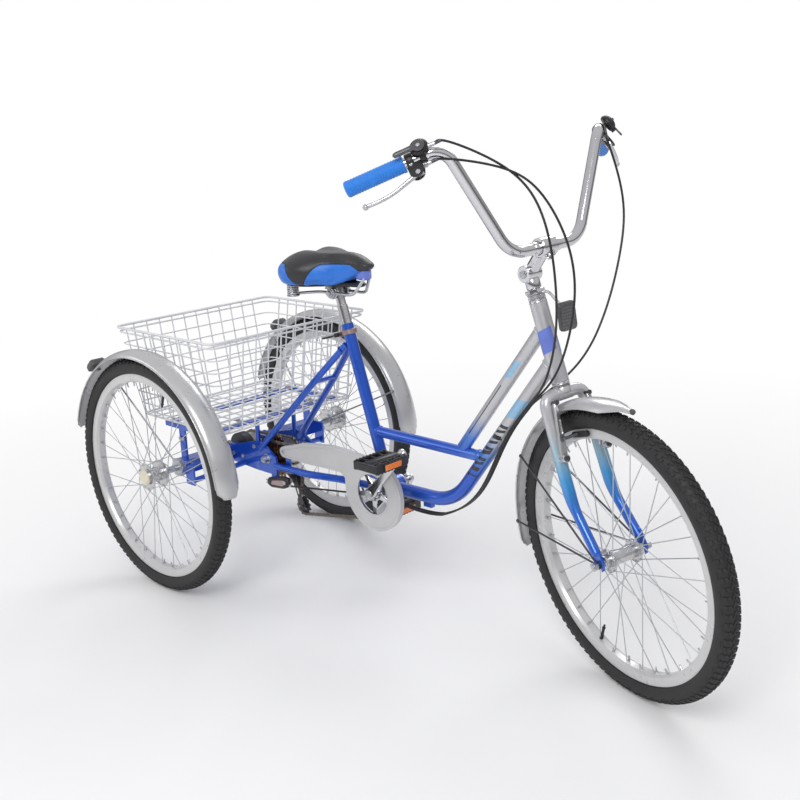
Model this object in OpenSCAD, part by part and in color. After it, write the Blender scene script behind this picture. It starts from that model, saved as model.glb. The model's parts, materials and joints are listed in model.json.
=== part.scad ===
// Adult tricycle: one steered front wheel, two rear wheels on a live axle, and a wire basket.
// Millimetres. +X is forward, +Y is the rider's left, +Z is up.
// The origin is on the ground, midway between the two rear tyres and below the rear axle.

/* [Overall] */
// Distance from the rear axle to the front axle, with the steering straight
wheelbase = 1172; // [1160:1:1190]
// Distance between the middles of the two rear tyres
track = 608; // [600:1:620]
// Outside radius of a tyre, which is also the height of the axles
wheel_r = 300; // [298:1:302]
// Width of a tyre
tyre_w = 44; // [40:1:46]

/* [Steering] */
// How far the front wheel is turned at rest, in degrees, negative to the rider's right
steer_rest = -18; // [-25:1:25]
// How far the stem is clamped off square to the front wheel, in degrees
stem_turn = 10; // [-10:1:15]
// Angle of the steering axis above the ground, in degrees
head_angle = 71.2; // [70:0.1:72]

/* [Frame] */
// Distance of the bottom bracket in front of the rear axle
bb_x = 528; // [524:1:532]
// Height of the bottom bracket
bb_z = 298; // [295:1:301]
// Length of the seat tube above the bottom bracket
seat_tube_len = 396; // [390:1:400]
// Angle of the seat tube above the ground, in degrees
seat_angle = 72.8; // [72:0.1:73.5]
// How far the saddle is turned on its post, in degrees
saddle_turn = 0; // [-60:1:60]

/* [Drive] */
// Length of a crank between its axle and its pedal
crank_len = 170; // [165:1:172]
// Angle of the right crank above the forward direction, in degrees
crank_rest = 46; // [0:1:80]
// Teeth on the chainring
ring_teeth = 34; // [32:1:34]
// Teeth on the sprocket that the drive chain runs on
cog_teeth = 20; // [20:1:21]
// Teeth on the sprocket of the rear axle
axle_teeth = 18; // [17:1:18]

/* [Basket] */
// Length of the basket at its rim
basket_len = 416; // [400:1:430]
// Width of the basket at its rim
basket_wid = 512; // [490:1:520]
// Height of the basket
basket_high = 238; // [200:1:250]
// How much narrower the floor is than the rim, on each side
basket_taper = 34; // [20:1:40]

/* [Hidden] */
$fn = 48;
play = 0.06;
axle_z = wheel_r;
up = [0, 0, 1];

// Steering axis, from the fork crown upward
head_mid = [992, 0, 700];
head_dir = [-cos(head_angle), 0, sin(head_angle)];
head_fwd = [sin(head_angle), 0, cos(head_angle)];
crown_at = head_mid - 94 * head_dir;
head_low = 14;
head_high = 176;
head_r = 18;
steerer_r = 12.7;
quill_r = 11.1;
crown_d = -8;
hub_at = [wheelbase, 0, axle_z];
hub_down = (hub_at - crown_at) * head_dir;
rake = (hub_at - crown_at) * head_fwd;

// Frame tubes
bb_at = [bb_x, 0, bb_z];
seat_dir = [-cos(seat_angle), 0, sin(seat_angle)];
seat_r = 14.3;
post_r = 12.7;
down_r = 15.9;
top_r = 14.3;
mid_r = 12.7;
stay_r = 8;
down_slope = 53.1;
down_dir = [cos(down_slope), 0, sin(down_slope)];
down_z = bb_z + 5;
mid_z = 428;
bb_r = 20;
bb_half = 34;
plate_y = 65;
plate_t = 6;
mid_hub_at = [155, 0, 310];
beam_in = 40;
beam_out = 222;
beam_w = 36;
axle_r = 8.5;
mid_r_shaft = 7.5;

// Wheels
rim_r = 261;
rim_half = 13.4;
rim_in = 239;
bead_r = 252;
spoke_r = 1;
spokes = 36;
guard_r = 318;
guard_half = 31;
guard_t = 1.4;
cap_out = 338 - 304 + track / 2;

// Drive
pitch = 12.7;
ring_r = pitch / 2 / sin(180 / ring_teeth);
cog_r = pitch / 2 / sin(180 / cog_teeth);
axle_cog_r = pitch / 2 / sin(180 / axle_teeth);
chain_y = -47;
axle_chain_y = 14;
chain_half = 4;
chain_w = 6;
chain_gap = 3;
guide_at = [243, chain_y, 270];
tension_at = [268, chain_y, 203];
pulley_teeth = 11;
pulley_r = pitch / 2 / sin(180 / pulley_teeth);
crank_dir = [cos(crank_rest), 0, sin(crank_rest)];
pedal_in = 92;
pedal_len = 100;

// Handlebar corners on the left side, with the bar straight ahead
bar_r = 11.1;
bar_mid = [990, 0, 890];
bar_low = [990, 94, 890];
bar_top = [949, 207, 1098];
bar_end = [837, 343, 1036];
bar_bend_low = 60;
bar_bend_top = 38;
bar_bore = bar_r * 1.01 + 0.05;
grip_len = 112;
grip_r = 15.5;

// Basket
floor_z = 413;
basket_mid_x = 12;

// Stays on the left side, from the front to the rear plate
chain_stay_points = [[bb_x - 14, 22, bb_z], [400, 38, bb_z], [300, 60.5, 297], [186, plate_y + 1, 296]];
seat_stay_points = [[414, 9, 628], [320, 35, 529], [130, plate_y + 2, 330]];
upper_at = [983, 0, 735];

// Chain guard
disc_at = [bb_x + 4, bb_z];
disc_r = 87;
tail_at = [222, 340];
freewheel_teeth = [28, 24, 22, 20, 18, 16];

// Saddle, post and clamp
clamp_d = seat_tube_len - 26;
post_top = 458;
saddle_at = [388, 0, 788];
saddle_low = -14;
base_t = 7.8;
rail_z = -38;
spring_z = -47;

// Stem, controls on the handlebar and front brake
stem_pivot_d = 236;
pivot_at = crown_at + stem_pivot_d * head_dir;
clamp_x = 116;
lever_pivot = [130, 31];
shifter_x = 150.5;
bell_x = 147;
arm_pivot = [1066, 52, 489];
arm_top = [1030, 40, 592];

// The cables lie under the down tube, then pass the bottom bracket to the rear
under_head = [948, -20, 560];
under_bend = [700, -7, 270];
run_dir = under_bend - under_head;

// ---------- helpers ----------

function unit(v) = v / norm(v);
function side_of(v, side) = [v[0], side * v[1], v[2]];

// Turns the local z axis to the direction v
module aim(v) {
    rotate([0, acos(v[2] / norm(v)), atan2(v[1], v[0])]) children();
}

// A round rod from a to b
module rod(a, b, r) {
    translate(a) aim(b - a) cylinder(r = r, h = norm(b - a));
}

// A tapered round rod from a to b
module cone_rod(a, b, r1, r2) {
    translate(a) aim(b - a) cylinder(r1 = r1, r2 = r2, h = norm(b - a));
}

// Places children with their x, y and z axes along u, v and w
module in_frame(at, u, v, w) {
    multmatrix([[u[0], v[0], w[0], at[0]],
                [u[1], v[1], w[1], at[1]],
                [u[2], v[2], w[2], at[2]],
                [0, 0, 0, 1]])
        children();
}

// Length of straight lost at a corner bent to radius bend
function setback(a, c, b, bend) = bend * tan(turn_of(a, c, b) / 2);
function turn_of(a, c, b) = acos(unit(c - a) * unit(b - c));

// The bent part of a tube at the corner c, a little fatter than the straights
module elbow(a, c, b, bend, r) {
    u = unit(c - a);
    turn = turn_of(a, c, b);
    w = unit(cross(u, unit(b - c)));
    v = cross(w, u);
    start = c - u * setback(a, c, b, bend);
    in_frame(start + v * bend, -v, u, w)
        rotate_extrude(angle = turn, $fn = 96)
            translate([bend, 0]) circle(r = r * 1.01);
}

// A tube through the points, bent to one radius at every inner point
module bent_rod(points, bend, r) {
    last = len(points) - 1;
    poke = 0.8;
    for (i = [0 : last - 1]) {
        a = points[i];
        b = points[i + 1];
        cut_a = i == 0 ? 0 : setback(points[i - 1], a, b, bend) - poke;
        cut_b = i == last - 1 ? 0 : setback(a, b, points[i + 2], bend) - poke;
        rod(a + unit(b - a) * cut_a, b - unit(b - a) * cut_b, r);
    }
    for (i = [1 : last - 1])
        elbow(points[i - 1], points[i], points[i + 1], bend, r);
}

// A ring along the local z axis
module ring(r_out, r_in, h) {
    difference() {
        cylinder(r = r_out, h = h);
        translate([0, 0, -1]) cylinder(r = r_in, h = h + 2);
    }
}

// Children are drawn on both sides of the frame's middle plane
module both_sides() {
    children();
    mirror([0, 1, 0]) children();
}

// Local z to the rider's left, starting at the height y
module across(x, z, y = 0) {
    translate([x, y, z]) rotate([-90, 0, 0]) children();
}

// Turns children with the front wheel
module steered(turn = steer_rest) {
    translate(crown_at) rotate(a = turn, v = head_dir) translate(-crown_at) children();
}

// Turns children with the handlebar
module bar_turned() {
    steered(steer_rest + stem_turn) children();
}

// Local z along the steering axis, local x forward, from the fork crown
module on_head(d = 0) {
    in_frame(crown_at + d * head_dir, head_fwd, [0, 1, 0], head_dir) children();
}

// Local z along the seat tube, local x forward, from the bottom bracket
module on_seat(d = 0) {
    in_frame(bb_at + d * seat_dir, [seat_dir[2], 0, -seat_dir[0]], [0, 1, 0], seat_dir) children();
}

// Points of a sweep: a ring of sides points around each point of the path
function ring_frame(t) = let (h = abs(t[2]) > 0.9 ? [1, 0, 0] : up, u = unit(cross(h, t))) [u, cross(t, u)];
function sweep_points(path, r, sides) = [for (i = [0 : len(path) - 1])
    let (a = path[max(i - 1, 0)], b = path[min(i + 1, len(path) - 1)], f = ring_frame(unit(b - a)))
    for (k = [0 : sides - 1])
        path[i] + r * cos(360 * k / sides) * f[0] + r * sin(360 * k / sides) * f[1]];

// A thin round cord along a computed path
module cord(path, r, sides = 8) {
    n = len(path);
    skin = [for (i = [0 : n - 2]) for (k = [0 : sides - 1])
        let (k2 = (k + 1) % sides)
        [i * sides + k, i * sides + k2, (i + 1) * sides + k2, (i + 1) * sides + k]];
    first = [for (k = [0 : sides - 1]) sides - 1 - k];
    last = [for (k = [0 : sides - 1]) (n - 1) * sides + k];
    polyhedron(points = sweep_points(path, r, sides), faces = concat(skin, [first, last]));
}

// A cubic curve between two points, leaving along the first pull and arriving along the second
function curve(a, pull_a, pull_b, b, steps) = [for (i = [0 : steps])
    let (t = i / steps, s = 1 - t)
    s * s * s * a + 3 * s * s * t * (a + pull_a) + 3 * s * t * t * (b + pull_b) + t * t * t * b];

// ---------- frame ----------

// Where the middle line of the lower down tube meets the height z
function down_at(z) = [966 + (z - 618) / tan(down_slope), 0, z];

module rear_plate() {
    translate([0, plate_y + plate_t / 2, 0]) rotate([90, 0, 0]) linear_extrude(plate_t)
        difference() {
            polygon([[-20, 278], [120, 272], [178, 272], [196, 292], [190, 320], [150, 345],
                [115, 350], [22, 324], [-20, 322]]);
            translate([0, axle_z]) circle(r = axle_r + 2);
            translate([mid_hub_at[0], mid_hub_at[2]]) circle(r = 13);
        }
}

module axle_beam() {
    difference() {
        translate([-beam_w / 2, beam_in, axle_z - beam_w / 2])
            cube([beam_w, beam_out - beam_in, beam_w]);
        across(0, axle_z, beam_in - 1) cylinder(r = axle_r + 3.5, h = beam_out);
        across(0, axle_z, beam_out - 14) cylinder(r = 17, h = 20);
    }
    // Web plate that braces the beam's outer end to the tie rod
    translate([beam_w / 2 - 0.5, beam_out - 5, 258]) cube([34, 5, 60]);
    rod([38, beam_out - 3, 267], [60, plate_y + 1, 280], 7);
    // Uprights and cross bars under the basket
    translate([-12, beam_out - 17, axle_z + beam_w / 2 - 1]) cube([24, 5, 85]);
}

module basket_bars() {
    for (x = [-60, 118])
        translate([x - 10, -205, 401]) cube([20, 410, 6]);
    both_sides() {
        translate([-70, beam_out - 17, 395]) cube([198, 5, 12]);
        rod([118, plate_y - 4, 403], [118, plate_y - 4, 340], 6);
    }
}

module main_frame() {
    color("royalblue") difference() {
        union() {
            // Seat tube, bottom bracket shell and the three tubes to the head
            on_seat() cylinder(r = seat_r, h = seat_tube_len);
            across(bb_x, bb_z, -bb_half) cylinder(r = bb_r, h = 2 * bb_half);
            rod([bb_x - 41, 0, mid_z], down_at(mid_z), mid_r);
            bent_rod([bb_at, down_at(down_z), down_at(669)], 130, down_r);
            rod(upper_at - down_dir * 370, upper_at, top_r);
            on_head(head_low) cylinder(r = head_r, h = head_high - head_low);
            both_sides() {
                bent_rod(chain_stay_points, 90, 9);
                bent_rod(seat_stay_points, 60, stay_r);
                rear_plate();
                axle_beam();
            }
            rod([320, -35, 529], [320, 35, 529], 6);
            basket_bars();
            // Tab for the tail of the chain guard, on the right chain stay
            translate([214, -54.3, 300]) cube([18, 3, 52]);
            // Hanger for the derailleur, below the right plate
            translate([170, -plate_y - plate_t / 2, 250]) cube([22, plate_t, 40]);
            // Housing stop of the cables, under the down tube
            translate([640, -6, 276]) cube([24, 12, 14]);
        }
        on_head(head_low - 1) cylinder(r = 14.5, h = head_high - head_low + 2);
        on_seat(60) cylinder(r = post_r + play, h = seat_tube_len);
        across(bb_x, bb_z, -bb_half - 1) cylinder(r = 17, h = 2 * bb_half + 2);
        across(182, 258, -plate_y - 10) cylinder(r = 4.1, h = 20);
    }
}

module frame_bearings() {
    color("silver") {
        // Headset cups
        for (d = [head_low - 6.3, head_high + 0.3]) on_head(d) ring(17.4, steerer_r + play, 6);
        for (d = [head_low - 3, head_high - 12]) on_head(d) ring(14.4, steerer_r + play, 15);
        // Bottom bracket cups
        both_sides() {
            across(bb_x, bb_z, 14) ring(16.9, 8.5 + play, 20);
            across(bb_x, bb_z, bb_half) ring(20, 8.5 + play, 3);
        }
        // Rear axle bearings with their hexagon housings, and the middle shaft's bushes
        both_sides() {
            across(0, axle_z, beam_out - 14) ring(16.9, axle_r + play, 14);
            difference() {
                across(0, axle_z, beam_out) cylinder(r = 24, h = 13, $fn = 6);
                across(0, axle_z, beam_out - 1) cylinder(r = axle_r + play, h = 16);
            }
            across(mid_hub_at[0], mid_hub_at[2], plate_y - 3) ring(12.9, mid_r_shaft + play, 6);
        }
    }
}

// ---------- rear axle and middle hub ----------

module rear_axle() {
    half = track / 2 + 28;
    color("lightgrey") {
        difference() {
            across(0, axle_z, -half) cylinder(r = axle_r, h = 2 * half);
            // Threaded centre holes at both ends
            for (y = [-half - 1, half - 19]) across(0, axle_z, y) cylinder(r = 3, h = 20);
        }
    }
}

module sprocket(r, teeth, bore, thick) {
    tooth = 360 / teeth;
    difference() {
        linear_extrude(thick) polygon([for (i = [0 : teeth - 1]) for (p = [0 : 3])
            let (a = (i + [0, 0.3, 0.42, 0.88][p]) * tooth, q = r + [-3.6, -3.6, 2.6, 2.6][p])
            [q * cos(a), q * sin(a)]]);
        translate([0, 0, -1]) cylinder(r = bore, h = thick + 2);
    }
}

module axle_sprocket() {
    color("dimgrey") {
        across(0, axle_z, axle_chain_y - 1.2) sprocket(axle_cog_r, axle_teeth, axle_r, 2.4);
        across(0, axle_z, axle_chain_y + 1.2) ring(16, axle_r, 16);
        // Brake drum keyed to the same axle
        across(0, axle_z, -30) ring(34, axle_r, 18);
    }
}

module band_brake() {
    color("black") {
        difference() {
            across(0, axle_z, -33) cylinder(r = 41, h = 22);
            across(0, axle_z, -31) cylinder(r = 35.5, h = 30);
            across(0, axle_z, -40) cylinder(r = 12, h = 20);
        }
        // Pin that holds the housing against turning, on the inner end of the axle beam
        rod([14, -34, axle_z + 14], [14, -beam_in + play, axle_z + 14], 3);
    }
}

module mid_hub() {
    color("grey") {
        across(mid_hub_at[0], mid_hub_at[2], -plate_y - 16) cylinder(r = mid_r_shaft, h = 2 * (plate_y + 16));
        difference() {
            across(mid_hub_at[0], mid_hub_at[2], -30) cylinder(r = 17, h = 82);
            across(mid_hub_at[0], mid_hub_at[2], -40) cylinder(r = 5, h = 100);
        }
        across(mid_hub_at[0], mid_hub_at[2], axle_chain_y - 1.2) sprocket(axle_cog_r, axle_teeth, 6, 2.4);
        both_sides()
            across(mid_hub_at[0], mid_hub_at[2], plate_y + 4) cylinder(r = 10, h = 9, $fn = 6);
    }
}

module freewheel() {
    color("saddlebrown") for (i = [0 : 5]) {
        y = -35 - i * 4;
        teeth = freewheel_teeth[i];
        across(mid_hub_at[0], mid_hub_at[2], y - 0.9)
            sprocket(pitch / 2 / sin(180 / teeth), teeth, mid_r_shaft + play, 1.8);
        if (i < 5) across(mid_hub_at[0], mid_hub_at[2], y - 3.1) ring(18, mid_r_shaft + play, 2.2);
    }
}

// ---------- chains and derailleur ----------

// Points along an arc in the x-z plane
function arc(at, r, from, to, steps) = [for (i = [0 : steps])
    let (a = from + (to - from) * i / steps) [at[0] + r * cos(a), at[2] + r * sin(a)]];

// Closed outline of the drive chain's middle line, grown by off on its outer side
function drive_path(off) = concat(
    arc(bb_at, ring_r + off, 93, -93, 22),
    arc(tension_at, pulley_r + off, 267, 160, 10),
    arc(guide_at, pulley_r - off, -20, 72, 8),
    arc(mid_hub_at, cog_r + off, 250, 93, 14));
function axle_path(off) = concat(
    arc(mid_hub_at, axle_cog_r + off, 86, -94, 20),
    arc([0, 0, axle_z], axle_cog_r + off, 266, 86, 20));

// The two rows of side plates of a chain, with room for the sprocket between them
module chain_band(y, path_out, path_in) {
    for (edge = [y - chain_gap / 2, y + chain_w / 2])
        translate([0, edge, 0]) rotate([90, 0, 0]) linear_extrude((chain_w - chain_gap) / 2)
            difference() {
                polygon(path_out);
                polygon(path_in);
            }
}

module chains() {
    color("dimgrey") {
        chain_band(chain_y, drive_path(chain_half), drive_path(-chain_half));
        chain_band(axle_chain_y, axle_path(chain_half), axle_path(-chain_half));
    }
}

module derailleur_body() {
    color("black") {
        // Mounting bolt through the hanger
        across(182, 258, -84) cylinder(r = 4, h = 23);
        across(182, 258, -88) cylinder(r = 9, h = 12);
        // Parallelogram from the hanger to the cage pivot
        translate([0, -87, 0]) rotate([-90, 0, 0]) linear_extrude(14)
            polygon([[176, -268], [192, -268], [252, -278], [252, -262], [236, -252], [178, -249]]);
    }
    color("silver") across(guide_at[0], guide_at[2], -73) cylinder(r = 8, h = 6);
}

module cage_plate(y) {
    v = tension_at - guide_at;
    translate([0, y, 0]) rotate([-90, 0, 0]) linear_extrude(1.6) difference() {
        polygon([[guide_at[0] - 9, -guide_at[2] - 8], [guide_at[0] + 9, -guide_at[2] - 6],
            [tension_at[0] + 9, -tension_at[2] - 3], [tension_at[0] + 5, -tension_at[2] + 9],
            [tension_at[0] - 8, -tension_at[2] + 7], [guide_at[0] - 11, -guide_at[2] + 4]]);
        translate([guide_at[0], -guide_at[2]]) circle(r = 3);
        translate([tension_at[0], -tension_at[2]]) circle(r = 3);
    }
}

module derailleur_cage() {
    color("dimgrey") {
        cage_plate(-55);
        cage_plate(-40.6);
        across(guide_at[0], guide_at[2], -66) cylinder(r = 6, h = 10);
        for (at = [guide_at, tension_at]) across(at[0], at[2], -57) cylinder(r = 3, h = 20);
    }
}

module pulley(at) {
    color("black") across(at[0], at[2], chain_y - 1.3) difference() {
        cylinder(r = pulley_r - 4.6, h = 2.6);
        translate([0, 0, -1]) cylinder(r = 3 + play, h = 6);
        for (a = [0 : 60 : 300]) rotate(a) translate([10.5, 0, -1]) cylinder(r = 2.6, h = 6);
    }
}

module guide_pulley() {
    pulley(guide_at);
}

module tension_pulley() {
    pulley(tension_at);
}

// ---------- chain guard ----------

module guard_outline(in) {
    union() {
        translate(disc_at) circle(r = disc_r - in);
        translate(tail_at) circle(r = 14 - in);
        polygon([[tail_at[0] - 1, tail_at[1] + 14 - in], [300, 377 - in], [400, 390 - in],
            [disc_at[0] - 60, disc_at[1] + disc_r + 5 - in], [disc_at[0] + 4, disc_at[1] + disc_r - in],
            [disc_at[0], disc_at[1]], [disc_at[0] - 76 + in, disc_at[1] + 8 + in], [434, 332 + in],
            [300, 326 + in], [tail_at[0] + 1, tail_at[1] - 14 + in]]);
    }
}

module chain_guard() {
    color("gainsboro") difference() {
        translate([0, -54.5, 0]) rotate([90, 0, 0]) linear_extrude(9.5) guard_outline(0);
        translate([0, -54, 0]) rotate([90, 0, 0]) linear_extrude(8.1) guard_outline(1.6);
        across(disc_at[0], disc_at[1], -70) cylinder(r = 48, h = 20);
        across(tail_at[0], tail_at[1], -70) cylinder(r = 2.6, h = 20);
    }
    color("silver") across(tail_at[0], tail_at[1], -66.5) cylinder(r = 5, h = 2.4);
}

// ---------- cranks and pedals ----------

module crank_spindle() {
    color("silver") across(bb_x, bb_z, -76) cylinder(r = 8.5, h = 152);
}

// One crank arm with its pedal axle, on the plane y, from the spindle towards dir
module crank_arm(y, thick, dir, axle_from, axle_len) {
    eye = bb_at + crank_len * dir;
    translate([bb_x, y + thick, bb_z]) rotate([90, -atan2(dir[2], dir[0]), 0]) linear_extrude(thick) {
        circle(r = 15);
        translate([crank_len, 0]) circle(r = 12);
        translate([10, -9]) square([crank_len - 17, 18]);
    }
    across(eye[0], eye[2], axle_from) cylinder(r = 6, h = axle_len);
}

// Hole for the spindle through everything it carries
module spindle_hole() {
    across(bb_x, bb_z, -100) cylinder(r = 8.5, h = 200);
}

module drive_crank() {
    color("silver") difference() {
        union() {
            crank_arm(-82, 14, crank_dir, -pedal_in - pedal_len + 8, pedal_len + 10);
            // Boss and five arms that carry the chainring
            across(bb_x, bb_z, -70) cylinder(r = 18, h = 26);
            for (i = [0 : 4])
                translate([bb_x, chain_y, bb_z]) rotate([0, 72 * i + 20, 0])
                    translate([12, -1.4, -6]) cube([ring_r - 18, 2.8, 12]);
            across(bb_x, bb_z, chain_y - 1.2) sprocket(ring_r, ring_teeth, ring_r - 14, 2.4);
        }
        spindle_hole();
    }
}

module left_crank() {
    color("silver") difference() {
        crank_arm(62, 14, -crank_dir, 70, pedal_in + pedal_len - 78);
        spindle_hole();
    }
}

// One pedal on the left side, its axle on the local y axis
module pedal_block() {
    color("black") difference() {
        translate([-36, pedal_in, -12]) cube([72, pedal_len, 24]);
        for (x = [-28, 12]) for (y = [12, 42, 68])
            translate([x, pedal_in + y, -20]) cube([16, 20, 40]);
        rotate([-90, 0, 0]) cylinder(r = 6 + play, h = pedal_in + pedal_len - 6);
    }
    color("darkorange") for (x = [-38.5, 36])
        translate([x, pedal_in + 25, -8]) cube([2.5, 50, 16]);
}

module right_pedal() {
    translate(bb_at + crank_len * crank_dir) mirror([0, 1, 0]) pedal_block();
}

module left_pedal() {
    translate(bb_at - crank_len * crank_dir) pedal_block();
}

// ---------- wheels ----------

// Places a wheel built round the local z axis, its axle along the world y axis
module at_wheel(x, y, z) {
    translate([x, y, z]) rotate([-90, 0, 0]) children();
}

module tyre() {
    mid_r = wheel_r - tyre_w / 2;
    color([0.1, 0.1, 0.1]) rotate_extrude($fn = 128) difference() {
        union() {
            translate([mid_r, 0]) circle(r = tyre_w / 2);
            translate([bead_r + 1.6, -11.4]) square([14, 22.8]);
        }
        translate([mid_r, 0]) circle(r = tyre_w / 2 - 3);
        translate([bead_r, -8.6]) square([20, 17.2]);
        for (s = [-1, 1]) translate([bead_r - 12, s > 0 ? 11.45 : -31.45]) square([rim_r - bead_r + 13, 20]);
    }
}

module rim() {
    color("whitesmoke") rotate_extrude($fn = 128) difference() {
        polygon([[rim_in, -7], [rim_in + 4, -rim_half], [rim_r, -rim_half], [rim_r, -rim_half + 1.8],
            [bead_r + 1, -rim_half + 1.8], [bead_r, -9], [bead_r - 2, 0], [bead_r, 9],
            [bead_r + 1, rim_half - 1.8], [rim_r, rim_half - 1.8], [rim_r, rim_half],
            [rim_in + 4, rim_half], [rim_in, 7]]);
        polygon([[rim_in + 2, -5], [bead_r - 5, -8], [bead_r - 5, 8], [rim_in + 2, 5]]);
    }
}

// Spokes laced three-cross between flanges at plus and minus fy
module spoke_set(flange_r, fy) {
    color("silver") for (i = [0 : spokes - 1]) {
        side = i % 2 == 0 ? 1 : -1;
        lean = floor(i / 2) % 2 == 0 ? 1 : -1;
        out = side * lean > 0 ? 4 * side : -2.8 * side;
        a = i * 360 / spokes;
        b = a - lean * 62;
        rod([(flange_r - 4) * cos(b), (flange_r - 4) * sin(b), side * fy + out],
            [(rim_in - 1) * cos(a), (rim_in - 1) * sin(a), side * 2.5], spoke_r);
    }
}

module hub_shell(flange_r, fy, barrel_r, bore, half) {
    color("silver") difference() {
        union() {
            translate([0, 0, -half]) cylinder(r = barrel_r, h = 2 * half);
            for (s = [-1, 1]) translate([0, 0, s * fy - 1.3]) cylinder(r = flange_r, h = 2.6);
        }
        translate([0, 0, -half - 1]) cylinder(r = bore, h = 2 * half + 2);
    }
}

module front_hub() {
    steered() at_wheel(hub_at[0], 0, hub_at[2]) hub_shell(24, 32, 14, 5 + play, 46);
}
module front_spokes() {
    steered() at_wheel(hub_at[0], 0, hub_at[2]) spoke_set(24, 32);
}
module front_rim() {
    steered() at_wheel(hub_at[0], 0, hub_at[2]) rim();
}
module front_tyre() {
    steered() at_wheel(hub_at[0], 0, hub_at[2]) tyre();
}
module front_axle() {
    steered() across(hub_at[0], hub_at[2]) color("silver") {
        translate([0, 0, -73]) cylinder(r = 5, h = 146);
        for (s = [-1, 1]) {
            translate([0, 0, s > 0 ? 46.5 : -50]) ring(8, 5, 3.5);
            translate([0, 0, s > 0 ? 62.4 : -70.4]) rotate(15) difference() {
                cylinder(r = 9, h = 8, $fn = 6);
                translate([0, 0, -1]) cylinder(r = 5, h = 10);
            }
        }
    }
}

module left_rear_hub() {
    at_wheel(0, track / 2, axle_z) hub_shell(34, 20, 18, axle_r + play, 26);
}
module left_rear_spokes() {
    at_wheel(0, track / 2, axle_z) spoke_set(34, 20);
}
module left_rear_rim() {
    at_wheel(0, track / 2, axle_z) rim();
}
module left_rear_tyre() {
    at_wheel(0, track / 2, axle_z) tyre();
}
module right_rear_hub() {
    at_wheel(0, -track / 2, axle_z) hub_shell(34, 20, 18, axle_r, 26);
}
module right_rear_spokes() {
    at_wheel(0, -track / 2, axle_z) spoke_set(34, 20);
}
module right_rear_rim() {
    at_wheel(0, -track / 2, axle_z) rim();
}
module right_rear_tyre() {
    at_wheel(0, -track / 2, axle_z) tyre();
}

// A cap pushed on the outer end of a rear hub
module hub_cap(side) {
    inner = track / 2 + 26;
    color("ivory") mirror([0, side > 0 ? 0 : 1, 0]) difference() {
        across(0, axle_z, inner) cylinder(r = 20, h = cap_out - inner);
        across(0, axle_z, inner - 1) cylinder(r = 14, h = cap_out - inner - 1.5);
    }
}
module left_hub_cap() {
    hub_cap(1);
}
module right_hub_cap() {
    hub_cap(-1);
}

// ---------- mudguards ----------

// An arched blade round the local z axis, from angle a0 through turn
module mudguard(a0, turn) {
    rotate(a0) rotate_extrude(angle = turn, $fn = 128)
        translate([guard_r - guard_half, 0]) intersection() {
            difference() {
                circle(r = guard_half + guard_t);
                circle(r = guard_half);
            }
            translate([6, -50]) square([50, 100]);
        }
}

// A wire stay on the left wheel's inner side, from the axle beam to the blade
module guard_stay(angle) {
    y_in = track / 2 - guard_half - 3.4;
    reach = guard_r - guard_half + 12;
    rod([26 * cos(angle), beam_out + 8, axle_z + 26 * sin(angle)],
        [reach * cos(angle), y_in, axle_z + reach * sin(angle)], 2.2);
}

module rear_mudguards() {
    color("silver") both_sides() {
        at_wheel(0, track / 2, axle_z) mudguard(-166, 164);
        guard_stay(25);
        guard_stay(132);
    }
}

module front_mudguard() {
    steered() color("silver") {
        at_wheel(hub_at[0], 0, hub_at[2]) mudguard(-196, 116);
        both_sides() for (angle = [152, 184])
            rod(hub_at + [8 * cos(angle), 60.4, 8 * sin(angle)],
                hub_at + [300 * cos(angle), guard_half + 3.8, 300 * sin(angle)], 1.9);
    }
}

module rear_reflectors() {
    lean = 130;
    color("dimgrey") both_sides() at_wheel(0, track / 2, axle_z) rotate(-lean) {
        translate([guard_r + guard_t + 5, -18, -22]) cube([22, 36, 44]);
        translate([guard_r + guard_t + 0.05, 0, 0]) rotate([0, 90, 0]) cylinder(r = 6, h = 6);
    }
}

// ---------- basket ----------

// Tapered box, smaller by in on every side and starting low above the floor
function basket_ring(in, share) = let (
    x = basket_len / 2 - basket_taper * (1 - share) - in,
    y = basket_wid / 2 - basket_taper * (1 - share) - in)
    [for (c = [[-1, -1], [1, -1], [1, 1], [-1, 1]])
        [basket_mid_x + c[0] * x, c[1] * y, floor_z + share * basket_high]];

module basket_box(in, from, to) {
    polyhedron(points = concat(basket_ring(in, from), basket_ring(in, to)),
        faces = [[0, 1, 2, 3], [7, 6, 5, 4], [4, 5, 1, 0], [5, 6, 2, 1], [6, 7, 3, 2], [7, 4, 0, 3]]);
}

module basket() {
    color("white") {
        difference() {
            basket_box(0, 0, 1);
            basket_box(3, 0.016, 1.1);
        }
    }
}

// ---------- seat ----------

module seat_post() {
    color("silver") {
        on_seat(250) cylinder(r = post_r, h = 190);
        on_seat(440) cylinder(r = 11, h = post_top - 440 + 6);
    }
}

module seat_clamp() {
    color("silver") on_seat(clamp_d) {
        difference() {
            union() {
                cylinder(r = 19, h = 12);
                translate([-33, -9, 0]) cube([18, 18, 12]);
            }
            translate([0, 0, -1]) cylinder(r = seat_r, h = 14);
            translate([-40, -1.5, -1]) cube([30, 3, 14]);
        }
        // Skewer and its nut
        translate([-26, 0, 6]) rotate([90, 0, 0]) translate([0, 0, -22]) cylinder(r = 2.5, h = 33.8);
        translate([-26, 17, 6]) rotate([-90, 0, 0]) cylinder(r = 6, h = 6);
    }
}

module seat_clamp_lever() {
    color("black") on_seat(clamp_d + 6) translate([-26, -18, 0]) {
        translate([0, 0, -5]) difference() {
            cylinder(r = 6, h = 10);
            translate([0, 0, -1]) cylinder(r = 0.9, h = 12);
        }
        translate([-48, -5, -4]) cube([46, 4, 8]);
    }
}

module saddle_placed() {
    translate(saddle_at) rotate(saddle_turn) children();
}

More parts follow.
